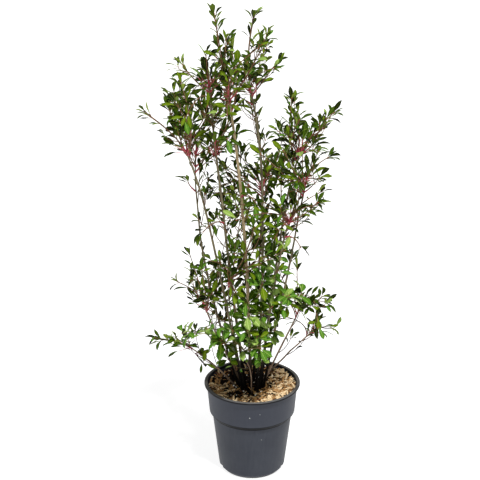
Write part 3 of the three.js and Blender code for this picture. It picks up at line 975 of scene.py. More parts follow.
            # Perlite shows most where few chips lie
            centre = self.scattered(rng, count * 3, 5 * MM)
            shown = self.bareness(centre) + rng.uniform(0, even, len(centre))
            centre = centre[np.argsort(-shown)[:count]]
            scale = rng.uniform(*size, (count, 1, 1)) * rng.uniform(0.65, 1.0, (count, 1, 3))
            shape = points[None] * scale * rng.uniform(0.8, 1.15, (count, len(points), 1))
            base = self.surface(np.linalg.norm(centre, axis=1)) + rng.random(count) * lift
            buffer = MeshBuffer()
            buffer.add(shape + np.column_stack([centre, base])[:, None], faces)
            buffer.finish(name, finish, "compost")

    def build(self) -> None:
        """Makes the bed and what lies on it."""
        self.bed()
        self.mulch()
        self.grains()


def _turned(
    points: np.ndarray, yaw: np.ndarray, pitch: np.ndarray, roll: np.ndarray
) -> np.ndarray:
    """Turns many small shapes, each by its own angles.

    Args:
        points: Their points, as shapes x points x 3.
        yaw: Each shape's turn round Z.
        pitch: Its turn round its own Y, before that.
        roll: Its turn round its own X, first.

    Returns:
        The turned points.
    """
    x, y, z = points[..., 0], points[..., 1], points[..., 2]
    c, s = np.cos(roll)[:, None], np.sin(roll)[:, None]
    y, z = c * y - s * z, s * y + c * z
    c, s = np.cos(pitch)[:, None], np.sin(pitch)[:, None]
    x, z = c * x + s * z, c * z - s * x
    c, s = np.cos(yaw)[:, None], np.sin(yaw)[:, None]
    x, y = c * x - s * y, s * x + c * y
    return np.stack([x, y, z], -1)


def _ball() -> tuple[np.ndarray, list[tuple[int, ...]]]:
    """Returns the points and faces of a rough ball of radius 1, for grains and crumbs."""
    deselect()
    bpy.ops.mesh.primitive_ico_sphere_add(subdivisions=2, radius=1, location=(0, 0, 0))
    ball = bpy.context.object
    points = np.array([v.co for v in ball.data.vertices], float)
    faces = [tuple(p.vertices) for p in ball.data.polygons]
    bpy.data.objects.remove(ball)
    return points, faces


@dataclass(frozen=True)
class Bend:
    """A curve with three control points."""

    start: Vector
    pull: Vector
    end: Vector

    def point(self, share: float) -> Vector:
        """Returns the point at a share of the curve."""
        rest = 1 - share
        return self.start * rest**2 + self.pull * (2 * rest * share) + self.end * share**2

    def tangent(self, share: float) -> Vector:
        """Returns the way on at a share of the curve."""
        way = (self.pull - self.start) * (1 - share) + (self.end - self.pull) * share
        return way.normalized()

    def length(self) -> float:
        """Returns the curve's length, near enough."""
        points = [self.point(i / 8) for i in range(9)]
        return sum((b - a).length for a, b in zip(points, points[1:]))


@dataclass
class Ring:
    """A limb's centre at one share: the way on, two directions across, and the radius."""

    share: float
    point: Vector
    along: Vector
    side: Vector
    other: Vector
    radius: float

    def leaning(self, lean: float, turn: float) -> Vector:
        """Returns a direction that leans away from the way on, turned round it."""
        out = self.side * math.cos(turn) + self.other * math.sin(turn)
        return self.along * math.cos(lean) + out * math.sin(lean)

    def opened(self) -> "Ring":
        """Returns the ring turned to look up and outwards, as a rosette does to the light."""
        out = Vector((self.point.x, self.point.y - 20 * MM, 0)).normalized()
        along = (self.along * 0.5 + out * 0.6 + UP * 0.6).normalized()
        side = (self.side - along * self.side.dot(along)).normalized()
        return Ring(self.share, self.point, along, side, along.cross(side), self.radius)

    def level(self, radius: float, height: float, lift: float = 0.0) -> Level:
        """Returns the level of a tube that stands here, or further on by its lift."""
        centre = np.array([self.point]) + np.array([self.along]) * lift
        return centre, np.array([self.side]), np.array([self.other]), radius, height


@dataclass
class Limb:
    """A tapering limb along a curve."""

    curve: Bend
    radii: Range
    facing: Vector | None = None

    def radius(self, share: float) -> float:
        """Returns the radius at a share of the limb."""
        return lerp(*self.radii, share)

    def place(self, share: float) -> Vector:
        """Returns the centre at a share of the limb."""
        return self.curve.point(share)

    def ring(self, share: float) -> Ring:
        """Returns the ring at a share of the limb."""
        chord = (self.curve.end - self.curve.start).normalized()
        guide = chord.cross(ACROSS if abs(chord.z) > 0.9 else UP)
        along = self.curve.tangent(share)
        if share == 0 and self.facing is not None:
            along = self.facing
        side = (guide - along * guide.dot(along)).normalized()
        return Ring(
            share, self.place(share), along, side, along.cross(side), self.radius(share)
        )


class Tone(Enum):
    """The greens of the leaves: upper face, lower face and midrib."""

    SHADE = ("#131c00", "#425414", "#485816")
    DEEP = ("#2e4602", "#5a6e22", "#627428")
    OLIVE = ("#546c06", "#80923c", "#8e9a34")
    BRIGHT = ("#44701a", "#84a050", "#94ac50")
    PALE = ("#7e9a46", "#a6b874", "#bac67c")


class Part(Enum):
    """Where a twig stands in the plant, with the share of its leaves that take each tone."""

    CROWN = (0.28, 0.38, 0.25, 0.07, 0.02)
    INNER = (0.52, 0.34, 0.11, 0.03, 0.00)
    FRESH = (0.05, 0.14, 0.07, 0.54, 0.20)


@dataclass(frozen=True)
class Habit:
    """How one kind of shoot grows: the share of it without leaves, the length of a leaf, how
    far apart they stand, the length of its crimson base, its order and the leaves at its tip."""

    radii: Range
    bare: float
    leaf: float
    gap: float
    red: float
    order: int = 1
    tuft: int = 4


LEADER = Habit((1.6 * MM, 0.8 * MM), 0.2, 31 * MM, 1.15, 18 * MM)
SPIRE = Habit((1.3 * MM, 0.7 * MM), 0.22, 29 * MM, 1.2, 16 * MM)
SIDE_SHOOT = Habit((1.15 * MM, 0.7 * MM), 0.25, 27 * MM, 1.0, 6 * MM, order=2)
FINE_TWIG = Habit((0.9 * MM, 0.55 * MM), 0.22, 25 * MM, 0.85, 2 * MM, order=3, tuft=3)
INNER_TWIG = replace(FINE_TWIG, leaf=23 * MM, tuft=4)


@dataclass(kw_only=True)
class Shoot(Limb):
    """A twig, with what its leaves need."""

    habit: Habit
    part: Part
    openness: float
    seed: int


@dataclass
class Spray:
    """A mass of foliage: where it leaves its cane, its aim, and each shoot's seed.

    The leader's seed is first, and 0 stands for a shoot that is left out, where there is sky.
    """

    name: str
    at: float
    aim: Vector
    seeds: tuple[int, ...]


@dataclass(kw_only=True)
class Cane(Limb):
    """A cane, from the compost to its fork, with its sprays."""

    TALL: ClassVar[float] = 500 * MM
    name: str
    sprays: list[Spray]
    index: int
    # How much thinner than in the source it is: on open canes, on tall ones and on the rest
    slims: tuple[float, float, float] = (0.86, 0.8, 0.6)
    flare: float = 0.12
    flare_share: float = 0.03
    swell: float = 0.5
    swell_share: float = 0.012
    sides: int = 16
    rings: int = 101
    # The source's sway: half waves along the cane, limits of their size, and seed
    sways: tuple[float, ...] = (2.3, 4.1, 7.7)
    sway_size: Range = (0.4 * MM, 1.5 * MM)
    sway_seed: int = 9000
    bark_seed: int = 700
    # How often each kind of ridge stands round the cane, its height and its twist
    ridges: tuple[tuple[float, float, float], ...] = ((3, 0.045, 5), (5, 0.03, -11))
    scar_gap: float = 34 * MM
    scar_width: float = 2.2 * MM
    scar_height: float = 0.1
    grit_size: float = 3 * MM
    grit_height: float = 0.35 * MM

    @property
    def tall(self) -> bool:
        """Says whether it reaches the upper tiers."""
        return self.curve.end.z > self.TALL

    @property
    def fresh(self) -> bool:
        """Says whether all its growth is young."""
        return self.name in FRESH_CANES

    @property
    def part(self) -> Part:
        """Says how the leaves at its fork grow."""
        return Part.FRESH if self.fresh else Part.CROWN

    @property
    def openness(self) -> float:
        """Says how much further apart than usual the leaves of its shoots stand."""
        return 1.3 if self.name in OPEN_CANES else 0.8 if self.fresh else 1.0

    def radius(self, share: float) -> float:
        """Returns the radius: a taper, a flared foot and a swollen node at the fork."""
        slim = self.slims[0 if self.name in OPEN_CANES else 1 if self.tall else 2]
        foot = 1 + self.flare * math.exp(-share / self.flare_share)
        node = 1 + self.swell * math.exp(-(((1 - share) / self.swell_share) ** 2))
        return lerp(*self.radii, share) * foot * node * slim

    def place(self, share: float) -> Vector:
        """Returns the centre, which sways a little between the foot and the fork."""
        draw = Draws(self.sway_seed + self.index)
        hold = min(1.0, 6 * share, 6 * (1 - share))
        sway = Vector((0, 0, 0))
        for turns in self.sways:
            phase, size = draw() * 6.28, draw.within(self.sway_size) * 2 / turns
            way = draw() * 6.28
            wave = math.sin(turns * math.pi * share + phase) * size * hold
            sway += Vector((math.cos(way), math.sin(way), 0)) * wave
        return self.curve.point(share) + sway

    def cylinder(self) -> bpy.types.Object:
        """Returns a cylinder one metre high, whose sides are cut into rings."""
        deselect()
        bpy.ops.mesh.primitive_cylinder_add(
            vertices=self.sides, radius=1, depth=1, end_fill_type="TRIFAN", location=(0, 0, 0)
        )
        piece = bpy.context.object
        piece.name = piece.data.name = f"cane_bark_{self.name}"
        mesh = piece.data
        for item in (*mesh.vertices, *mesh.edges, *mesh.polygons):
            item.select = False
        for edge in mesh.edges:
            low, high = (mesh.vertices[i].co.z for i in edge.vertices)
            edge.select = abs(high - low) > 0.5
        bpy.context.tool_settings.mesh_select_mode = (False, True, False)
        bpy.ops.object.mode_set(mode="EDIT")
        bpy.ops.mesh.subdivide(number_cuts=self.rings - 1)
        bpy.ops.object.mode_set(mode="OBJECT")
        return piece

    def build(self, material: bpy.types.Material) -> None:
        """Models the cane: a cylinder, laid along the curve and given relief.

        Args:
            material: Its bark.
        """
        piece = self.cylinder()
        mesh = piece.data
        shares = np.linspace(0, 1, self.rings + 1)
        rings = [self.ring(float(share)) for share in shares]
        rng = np.random.default_rng(self.bark_seed + self.index)
        # Of the four phases the last two are spare
        phases = rng.random(4) * FULL_TURN
        reach = self.curve.length()
        scars = np.sort(rng.random(max(4, int(reach / self.scar_gap))))
        points = np.array([v.co for v in mesh.vertices], float)
        laid, places = np.zeros_like(points), np.zeros_like(points)
        for i, (x, y, z) in enumerate(points):
            ring = rings[round((z + 0.5) * self.rings)]
            turn = math.atan2(y, x)
            # Low ridges twist round the cane, and old leaf scars make it a little knobbly
            relief = sum(
                height * math.sin(often * turn + phase + twist * ring.share)
                for (often, height, twist), phase in zip(self.ridges, phases)
            )
            near = (ring.share - scars) * reach / self.scar_width
            relief += self.scar_height * float(np.exp(-(near**2)).sum())
            radius = ring.radius * (1 + relief) * math.hypot(x, y)
            side, other = math.cos(turn) * radius, math.sin(turn) * radius
            laid[i] = ring.point + ring.side * side + ring.other * other
            places[i] = (side, other, ring.share * reach + 0.7 * self.index)
        put(mesh.vertices, "co", laid)
        put(mesh.attributes.new(BARK_PLACE, "FLOAT_VECTOR", "POINT").data, "vector", places)
        displace(
            piece, f"bark_relief_{self.name}", self.grit_size, 2, direction="NORMAL",
            strength=self.grit_height, mid_level=0.5,
        )
        piece.data.update()
        bpy.ops.object.shade_smooth_by_angle(angle=math.radians(60))
        set_materials(piece, material)
        finish_piece(piece, [f"cane_{self.name}"])


# The height of the canes' feet in millimetres
CANE_FOOT = 170.3
# Foot, waist, fork and radii of each cane in millimetres, and each spray's share, aim and shoots.
# A search program outside this script chose the shoots' seeds here and every row of SPIRES and
# SPRIGS, and moved the aims, by how well the leaves cover what the photograph shows covered
CANE_PLAN = {
    "centre": ((-3, -10), (-16, -18, 509), (-45, -15, 767), (4.2, 2.7), {
        "top": (1, (-72, -27, 939), (32, 1, 0)), "front": (0.975, (-44, -77, 845), (11, 0, 0)),
        "right": (0.985, (36, 1, 895), (39, 16, 0)), "mid": (0.62, (14, -93, 589), (18, 0, 0))}),
    "back_centre": ((9, 9), (19, 18, 530), (-4, 25, 765), (3.6, 2.2), {
        "top": (1, (0, 27, 927), (30, 0, 0)), "right": (0.985, (56, 33, 838), (24, 0, 0)),
        "back": (0.95, (-23, 106, 806), (16, 8, 14, 14)),
        "mid": (0.6, (54, 102, 618), (10, 14, 16))}),
    "left_centre": ((-14, 3), (-54, 0, 520), (-80, -10, 784), (3.8, 2.1), {
        "top": (1, (-86, -27, 866), (24, 0, 0)), "left": (0.98, (-141, -22, 843), (6, 0, 0)),
        "back": (0.94, (-66, 83, 814), (34, 8, 0)), "inner": (0.78, (-37, -77, 709), (18, 0, 2)),
        "low": (0.5, (-104, -70, 522), (27, 0, 0))}),
    "left": ((-19, -9), (-79, -5, 500), (-123, -20, 665), (3.2, 1.9), {
        "reach": (1, (-204, -13, 746), (21, 0, 0)), "top": (0.98, (-143, -45, 784), (6, 12, 16))}),
    "far_left": ((-27, 7), (-95, 35, 440), (-108, 50, 640), (3, 1.6), {
        "top": (1, (-134, 75, 755), (39, 12, 4)), "side": (0.8, (-136, 45, 602), (13, 0))}),
    "right": ((17, 3), (54, 8, 500), (88, 5, 657), (3.4, 2), {
        "reach": (1, (159, -12, 754), (1, 22, 0, 17)), "top": (0.985, (66, -13, 785), (24, 0, 0)),
        "inner": (0.965, (33, -29, 722), (1, 7, 0)), "back": (0.93, (87, 106, 723), (27, 0, 0))}),
    "right_front": ((21, -7), (69, -15, 440), (97, -20, 605), (3, 1.7), {
        "reach": (1, (150, -27, 674), (33, 0, 28)), "front": (0.975, (70, -95, 637), (29, 8, 0))}),
    "back": ((2, 23), (14, 62, 430), (18, 84, 561), (3, 1.7), {
        "top": (1, (13, 104, 676), (22, 0, 0)), "back": (0.97, (1, 163, 594), (10, 25, 30)),
        "left": (0.9, (-68, 119, 602), (19, 17, 4))}),
    "right_low": ((12, -18), (44, -35, 420), (67, -42, 538), (3, 1.7), {
        "reach": (1, (137, -60, 588), (34, 0, 0)), "front": (0.97, (31, -121, 527), (7, 31, 31)),
        "side": (0.8, (107, -51, 479), (18, 0, 0))}),
    "low_right": ((20, 13), (62, 44, 250), (95, 60, 318), (2.4, 1.6), {
        "reach": (1, (165, 61, 337), (34, 19, 0)), "back": (0.95, (90, 143, 389), (26, 30, 0))}),
    "far_right": ((17, 27), (73, 70, 214), (120, 95, 249), (2.2, 1.4), {
        "reach": (1, (179, 91, 269), (35, 0, 0))}),
    "low_left": ((-27, -4), (-80, 8, 221), (-123, 15, 252), (2.2, 1.4), {
        "reach": (1, (-198, 3, 280), (3, 0, 0)), "up": (0.95, (-156, -48, 310), (7, 16, 0))}),
    "left_low": ((-19, 16), (-66, 20, 268), (-94, 15, 343), (2.8, 1.6), {
        "reach": (1, (-157, -14, 418), (34, 0, 16)), "top": (0.96, (-129, 52, 459), (21, 0, 0))}),
    "front_left": ((-10, -22), (-37, -46, 320), (-46, -58, 432), (2.4, 1.5), {
        "top": (1, (-89, -97, 493), (12, 0, 10)), "front": (0.94, (-25, -148, 430), (25, 17, 19))}),
    "front": ((0, -30), (-6, -56, 244), (-18, -76, 294), (2, 1.3), {
        "lower_left": (1, (-69, -122, 330), (8, 8, 22)),
        "lower_right": (0.92, (27, -125, 322), (25, 0, 15))}),
    "front_right": ((9, -27), (12, -56, 284), (7, -74, 370), (2.4, 1.5), {
        "top": (1, (21, -103, 455), (20, 1, 0, 0))}),
}
FRESH_CANES = ("front", "front_right")
# Canes whose shoots are thin and open
OPEN_CANES = ("low_left", "low_right", "far_right", "left_low")
# Canes with a second ring of long-stalked leaves, and the share at which it stands
MIDWAY_WHORLS = {"left_centre": 0.745}
# The slender shoots between a cane's sprays: share of the cane, the tip in millimetres in X,
# Y and Z, and seed
SPIRES = {
    "centre": """
        1 -47 -92 906 5, 0.97 -46 -118 756 11, 0.94 -40 9 870 6, 1 -73 -27 938 5""",
    "back_centre": """
        1 26 -25 880 10, 0.94 -147 34 810 8, 1 -105 22 795 7, 1 50 0 832 17, 1 3 27 930 10""",
    "left_centre": """
        1 -69 -20 789 5, 0.985 -131 66 741 1, 0.97 -82 114 787 8, 0.95 -125 -157 754 8,
        0.9 -90 133 687 6, 0.98 26 -109 892 10""",
    "left": """
        1 -161 57 771 1, 0.96 -124 -125 834 8, 0.96 -15 -5 765 3, 0.93 -34 111 758 8,
        0.99 -136 -37 746 8, 0.96 -30 22 767 3, 0.99 -149 -12 795 9, 1 -213 -13 754 10""",
    "far_left": """
        0.93 -29 -24 732 11, 0.9 -63 85 729 8, 0.99 -31 -24 683 7, 0.9 -20 -15 709 1,
        0.93 -137 -9 814 19""",
    "right": """
        0.985 134 4 727 8, 0.95 56 -35 714 10, 0.9 73 118 619 8, 0.9 68 23 764 7""",
    "right_front": """
        0.93 47 -155 718 8, 0.9 3 -135 706 8, 0.93 130 -62 641 3, 0.93 92 56 689 5""",
    "back": """
        1 42 3 544 8, 0.93 -70 0 577 8, 0.99 52 -61 627 2, 0.99 -96 -12 590 5, 1 147 126 640 1,
        0.94 148 96 584 17, 0.9 62 9 712 14, 0.96 -102 28 652 5, 1 -7 111 743 1""",
    "right_low": """
        1 144 21 590 10, 0.985 128 -105 606 2, 0.98 -42 -157 583 6, 0.99 -56 -63 584 5,
        0.96 -97 16 584 2, 0.93 131 72 658 3, 0.93 -45 -102 589 5, 0.99 84 -34 751 7,
        1 89 98 634 12""",
    "low_right": """
        1 125 -123 355 8, 0.97 115 -45 371 8, 0.92 50 -131 404 8, 0.85 31 -56 402 11,
        0.9 59 23 378 10""",
    "far_right": """
        0.9 26 92 300 8""",
    "low_left": """
        0.8 -117 5 219 4, 1 -37 33 320 9, 1 -211 3 284 5""",
    "left_low": """
        1 -116 141 361 8, 0.93 -91 -152 495 10, 0.9 -85 60 403 9, 0.96 -72 -102 425 8,
        0.9 -81 -79 437 7, 0.98 -51 48 407 11, 0.9 -26 -3 424 1, 0.98 -43 4 365 11""",
    "front_left": """
        0.9 -30 -111 522 7, 0.98 10 -147 578 10, 0.98 38 -129 513 10, 0.96 25 -80 542 8,
        0.93 72 -138 528 6, 0.98 -15 47 560 6, 1 -29 -125 518 7, 1 11 -57 507 9""",
    "front": """
        0.85 -12 -120 407 6, 0.96 57 -88 351 5, 1 -154 -60 324 16""",
    "front_right": """
        0.9 48 12 509 10, 0.97 82 -113 430 9, 1 116 -59 406 1, 0.96 -18 -108 417 4,
        0.9 48 -107 405 1, 0.98 23 -76 468 14""",
}
# The finer twigs of each cane: the limb that carries it (0 is the cane), the share of it in
# thousandths, turn and lean in degrees, length in millimetres, and seed
SPRIGS = {
    "centre": """
        0 206 358 43 75 19, 0 353 20 21 40 8, 0 432 298 21 55 12, 0 457 77 48 75 10,
        0 497 54 49 75 39, 0 529 239 26 40 20, 0 550 169 52 75 34, 0 852 90 57 75 6,
        0 883 36 18 40 8, 1 551 230 46 30 12, 3 546 105 27 42 27, 5 799 180 24 30 35,
        7 556 44 48 30 14""",
    "back_centre": """
        0 227 40 54 75 19, 0 322 305 48 75 16, 0 347 353 40 55 3, 0 371 147 41 40 9,
        0 394 42 41 75 14, 0 458 276 50 75 31, 0 523 102 57 75 39, 0 725 249 26 28 11,
        0 755 18 25 75 37, 0 810 346 22 28 39, 0 860 109 44 40 6, 0 878 65 36 75 10,
        0 905 348 52 55 25, 2 546 221 48 42 14, 3 680 348 39 30 11, 6 306 60 48 42 18,
        10 303 60 36 20 16, 10 682 336 25 30 12, 10 792 172 34 20 39, 11 424 45 39 42 32,
        13 423 112 46 42 33""",
    "left_centre": """
        0 294 327 18 75 7, 0 395 310 49 55 24, 0 418 66 33 55 37, 0 443 357 28 75 38,
        0 468 3 27 40 12, 0 489 254 46 55 14, 0 545 270 29 75 39, 0 686 18 39 55 21,
        0 853 143 33 55 25, 0 883 120 51 75 9, 2 795 112 44 20 31, 4 793 17 39 20 12,
        10 687 139 20 42 27, 12 306 293 31 30 26, 12 793 55 38 30 23, 13 412 155 34 42 20""",
    "left": """
        0 234 269 45 75 34, 0 259 293 55 75 24, 0 382 320 39 75 11, 0 473 336 36 40 8,
        0 520 71 50 28 36, 0 619 332 40 55 2, 0 638 211 39 28 10, 0 941 19 39 55 9,
        1 297 104 40 30 7, 2 680 344 35 42 25, 5 674 125 26 20 6, 6 413 94 43 20 30,
        8 301 176 40 42 27, 8 552 43 44 42 34, 9 298 102 47 30 39, 9 417 89 33 42 33,
        9 793 45 24 42 8, 10 800 255 21 42 8""",
    "far_left": """
        0 264 90 41 40 1, 0 295 234 23 75 5, 0 331 309 40 75 27, 0 382 6 33 75 27,
        0 416 279 55 40 33, 0 609 345 52 75 16, 0 724 346 27 75 39, 0 785 229 26 75 9,
        0 856 3 52 55 12, 0 942 55 22 40 4, 1 673 64 43 20 11, 3 425 182 46 42 16,
        5 295 257 24 20 14, 5 806 237 26 42 36, 6 297 219 39 42 8""",
    "right": """
        0 227 24 46 75 39, 0 288 281 26 75 35, 0 386 42 27 55 26, 0 469 293 26 40 8,
        0 506 216 52 75 25, 0 562 345 51 55 4, 0 688 257 46 40 38, 0 742 49 19 40 24,
        0 810 101 18 28 4, 0 894 344 55 75 25, 3 305 0 23 42 25, 4 304 104 32 42 13,
        6 556 149 46 30 15, 6 798 4 24 42 2, 7 798 164 25 42 10, 8 551 146 27 30 26,
        9 421 214 33 30 39, 11 299 144 44 42 21""",
    "right_front": """
        0 707 4 49 75 22, 0 876 9 35 40 11, 0 911 105 52 75 34, 6 413 80 40 30 28,
        7 682 308 35 42 20, 8 799 79 36 20 5""",
    "back": """
        0 197 44 32 75 26, 0 232 111 20 75 6, 0 394 299 18 40 11, 0 472 353 37 75 14,
        0 499 189 34 55 23, 0 541 47 47 55 12, 0 581 177 28 55 26, 0 609 269 51 55 33,
        0 653 349 33 75 7, 0 685 83 51 75 27, 0 760 346 23 75 34, 0 925 51 18 40 34,
        3 300 325 25 42 28, 4 556 281 26 42 16, 7 807 348 41 20 37, 9 301 333 34 30 34,
        9 801 332 23 30 16, 11 557 285 32 42 8, 11 672 122 27 42 25, 12 298 136 22 42 37,
        12 800 225 28 30 2, 14 422 333 35 30 25, 15 426 241 32 42 23""",
    "right_low": """
        0 282 0 54 75 29, 0 679 56 26 55 33, 0 768 318 48 40 22, 0 887 283 54 55 29,
        10 680 110 25 20 32, 11 418 119 25 42 38""",
    "low_right": """
        0 361 80 23 40 23, 0 704 126 32 40 23, 0 881 302 20 40 34, 5 548 162 21 30 3,
        5 681 167 22 42 21""",
    "far_right": """
        0 456 321 43 75 38, 0 774 73 22 28 9, 0 863 162 20 28 16, 0 878 141 18 40 30,
        1 544 89 45 30 39, 2 672 79 48 30 14, 2 792 107 49 42 32""",
    "low_left": """
        0 362 3 55 75 29, 0 469 63 29 28 21, 0 600 82 18 40 13, 0 716 265 42 55 37,
        1 292 120 32 30 26, 4 798 257 49 30 11, 5 684 111 40 42 36""",
    "left_low": """
        0 353 2 22 75 20, 0 433 303 36 75 28, 0 525 274 40 75 17, 0 599 322 38 75 27,
        0 915 93 26 40 4, 1 295 175 29 20 39, 3 556 89 27 20 13, 4 421 166 30 30 19,
        6 295 359 33 30 37, 6 797 40 49 42 25, 11 674 228 22 42 35""",
    "front_left": """
        0 528 62 54 75 31, 11 304 51 27 42 18, 11 686 165 37 42 8, 13 306 228 31 42 12,
        13 677 163 23 42 3""",
    "front": """
        0 476 108 54 55 18, 0 690 241 51 28 5, 5 294 167 48 42 12, 5 548 326 40 42 28,
        8 422 57 27 42 16""",
    "front_right": """
        0 363 192 53 40 6, 0 717 96 37 75 7, 3 556 286 22 42 3, 3 685 331 27 20 12,
        3 798 88 34 30 6, 5 551 52 46 42 7, 7 294 22 43 20 4, 8 804 245 48 42 25""",
}


def table_rows(text: str) -> list[list[float]]:
    """Returns the rows of a table, with spaces between numbers and commas between rows."""
    return [[float(number) for number in row.split()] for row in text.split(",")]


def planned_canes() -> list[Cane]:
    """Returns the canes of the plan, in metres."""
    canes = []
    for index, (name, (foot, waist, fork, radii, sprays)) in enumerate(CANE_PLAN.items()):
        start = Vector((*foot, CANE_FOOT)) * MM
        middle, end = Vector(waist) * MM, Vector(fork) * MM
        curve = Bend(start, middle * 2 - start * 0.5 - end * 0.5, end)
        made = [Spray(key, at, Vector(aim) * MM, s) for key, (at, aim, s) in sprays.items()]
        thick, thin = radii
        canes.append(
            Cane(curve, (thick * MM, thin * MM), UP, name=name, sprays=made, index=index)
        )
    return canes


@dataclass
class Crown:
    """Everything that grows on the canes: shoots by the source's rule, finer twigs and leaves."""

    canes: list[Cane]
    low: Vector
    high: Vector
    seed: int = 308
    seed_step: int = 97
    clear: float = 0.3 * MM
    upright: float = 0.75
    leaf_length: float = 39 * MM
    tip_reach: float = 0.55
    steepness: float = 0.9
    pull: float = 0.36
    sag: float = 0.22
    rise: float = 0.38
    whorl_share: float = 0.3
    whorl_step: float = 0.05
    side_lean: float = math.radians(44)
    side_length: float = 0.56
    turn_spread: Range = (-0.35, 0.35)
    lean_spread: Range = (0.85, 1.15)
    length_spread: Range = (0.8, 1.15)
    shoots: list[Shoot] = field(default_factory=list)

    def nodes(self, *fresh: bool) -> list[str]:
        """Returns the CAD nodes of the sprays on fresh canes, on the other ones or on both."""
        return [
            f"foliage_{cane.name}_{spray.name}" for cane in self.canes if cane.fresh in fresh
            for spray in cane.sprays
        ]

    def shoot_curve(self, start: Vector, end: Vector) -> Bend:
        """Returns a shoot's path, as in the source: out first, then bending up to its end."""
        run = end - start
        level = Vector((run.x, run.y, 0))
        pull = start + run * 0.5 + level * self.sag
        pull.z -= level.length * self.sag
        return Bend(start, pull, end)

    def twig(
        self, fork: Ring, lean: float, turn: float, length: float, habit: Habit, **facts: object
    ) -> Shoot:
        """Grows a twig from a ring of another limb, by the source's rule for side shoots.

        Args:
            fork: The ring that it leaves.
            lean: How far it leans from the way on.
            turn: Its turn round the limb.
            length: Its length.
            habit: How it grows.
            **facts: What else its leaves need.

        Returns:
            The twig.
        """
        out = fork.leaning(lean, turn)
        to = out * length
        to.z += length * self.rise * (1 - out.z)
        end = fork.point + to.normalized() * length
        return Shoot(self.shoot_curve(fork.point, end), habit.radii, habit=habit, **facts)

    def leader(self, cane: Cane, at: float, aim: Vector, habit: Habit, seed: int) -> Shoot:
        """Grows a shoot from a cane towards an aim, by the source's rule for leaders.

        Args:
            cane: The cane that carries it.
            at: The share of the cane at which it leaves.
            aim: Where its last leaf ends.
            habit: How it grows.
            seed: Its leaves' seed.

        Returns:
            The shoot.
        """
        ring = cane.ring(at)
        root, way = ring.point + ring.along * self.clear, ring.along
        if at < 1:
            facing = aim - ring.point
            facing = (facing - ring.along * facing.dot(ring.along)).normalized()
            root = ring.point + facing * ring.radius * 0.5
            way = (facing + ring.along * self.steepness).normalized()
        run = aim - root
        end = root + run * (1 - self.tip_reach * self.leaf_length / run.length)
        curve = Bend(root, root + way * run.length * self.pull, end)
        return Shoot(
            curve, habit.radii, habit=habit, part=cane.part, openness=cane.openness, seed=seed
        )

    def spray_shoots(self, cane: Cane, spray: Spray, seed: int) -> list[Shoot]:
        """Grows a spray's leader and side shoots, with the source's own draws.

        Args:
            cane: The cane that carries it.
            spray: The spray.
            seed: Its seed.

        Returns:
            The leader, then the side shoots.
        """
        draw = Draws(seed)
        first, *others = spray.seeds
        leader = self.leader(cane, spray.at, spray.aim, LEADER, first)
        reach = (spray.aim - leader.curve.start).length
        grown = [leader]
        phase = draw() * FULL_TURN
        for i, own in enumerate(others, 1):
            turn = phase + FULL_TURN * i / len(others) + draw.within(self.turn_spread)
            lean = self.side_lean * draw.within(self.lean_spread) * self.upright
            length = reach * self.side_length * draw.within(self.length_spread)
            if own:
                fork = leader.ring(self.whorl_share + self.whorl_step * i)
                grown.append(self.twig(
                    fork, lean, turn, length, SIDE_SHOOT, part=cane.part,
                    openness=cane.openness, seed=own,
                ))
        return grown

    def sprig(self, cane: Cane, limb: Limb, row: Sequence[float]) -> Shoot:
        """Grows a fine twig, the next order on a shoot, or a leafy one below a cane's fork.

        Args:
            cane: The cane that it belongs to.
            limb: The cane itself, or the shoot of it that carries the twig.
            row: Its row of the plan, from the share on.

        Returns:
            The twig.
        """
        share, turn, lean, length, own = row
        habit, part = FINE_TWIG, cane.part
        if limb is cane:
            habit, part = INNER_TWIG, Part.FRESH if cane.fresh else Part.INNER
        return self.twig(
            limb.ring(share / 1000), math.radians(lean), math.radians(turn), length * MM, habit,
            part=part, openness=cane.openness, seed=int(own),
        )

    def grow(self) -> None:
        """Grows every shoot of each cane: leaders with side shoots, slender spires, then finer
        twigs.
        """
        seeds = itertools.count(self.seed, self.seed_step)
        for cane in self.canes:
            grown: list[Shoot] = []
            for spray in cane.sprays:
                grown += self.spray_shoots(cane, spray, next(seeds))
            for at, *tip, own in table_rows(SPIRES[cane.name]):
                grown.append(self.leader(cane, at, Vector(tip) * MM, SPIRE, int(own)))
            limbs = [cane, *grown]
            for limb, *row in table_rows(SPRIGS[cane.name]):
                grown.append(self.sprig(cane, limbs[int(limb)], row))
            self.shoots += grown
        log.info("%d shoots", len(self.shoots))


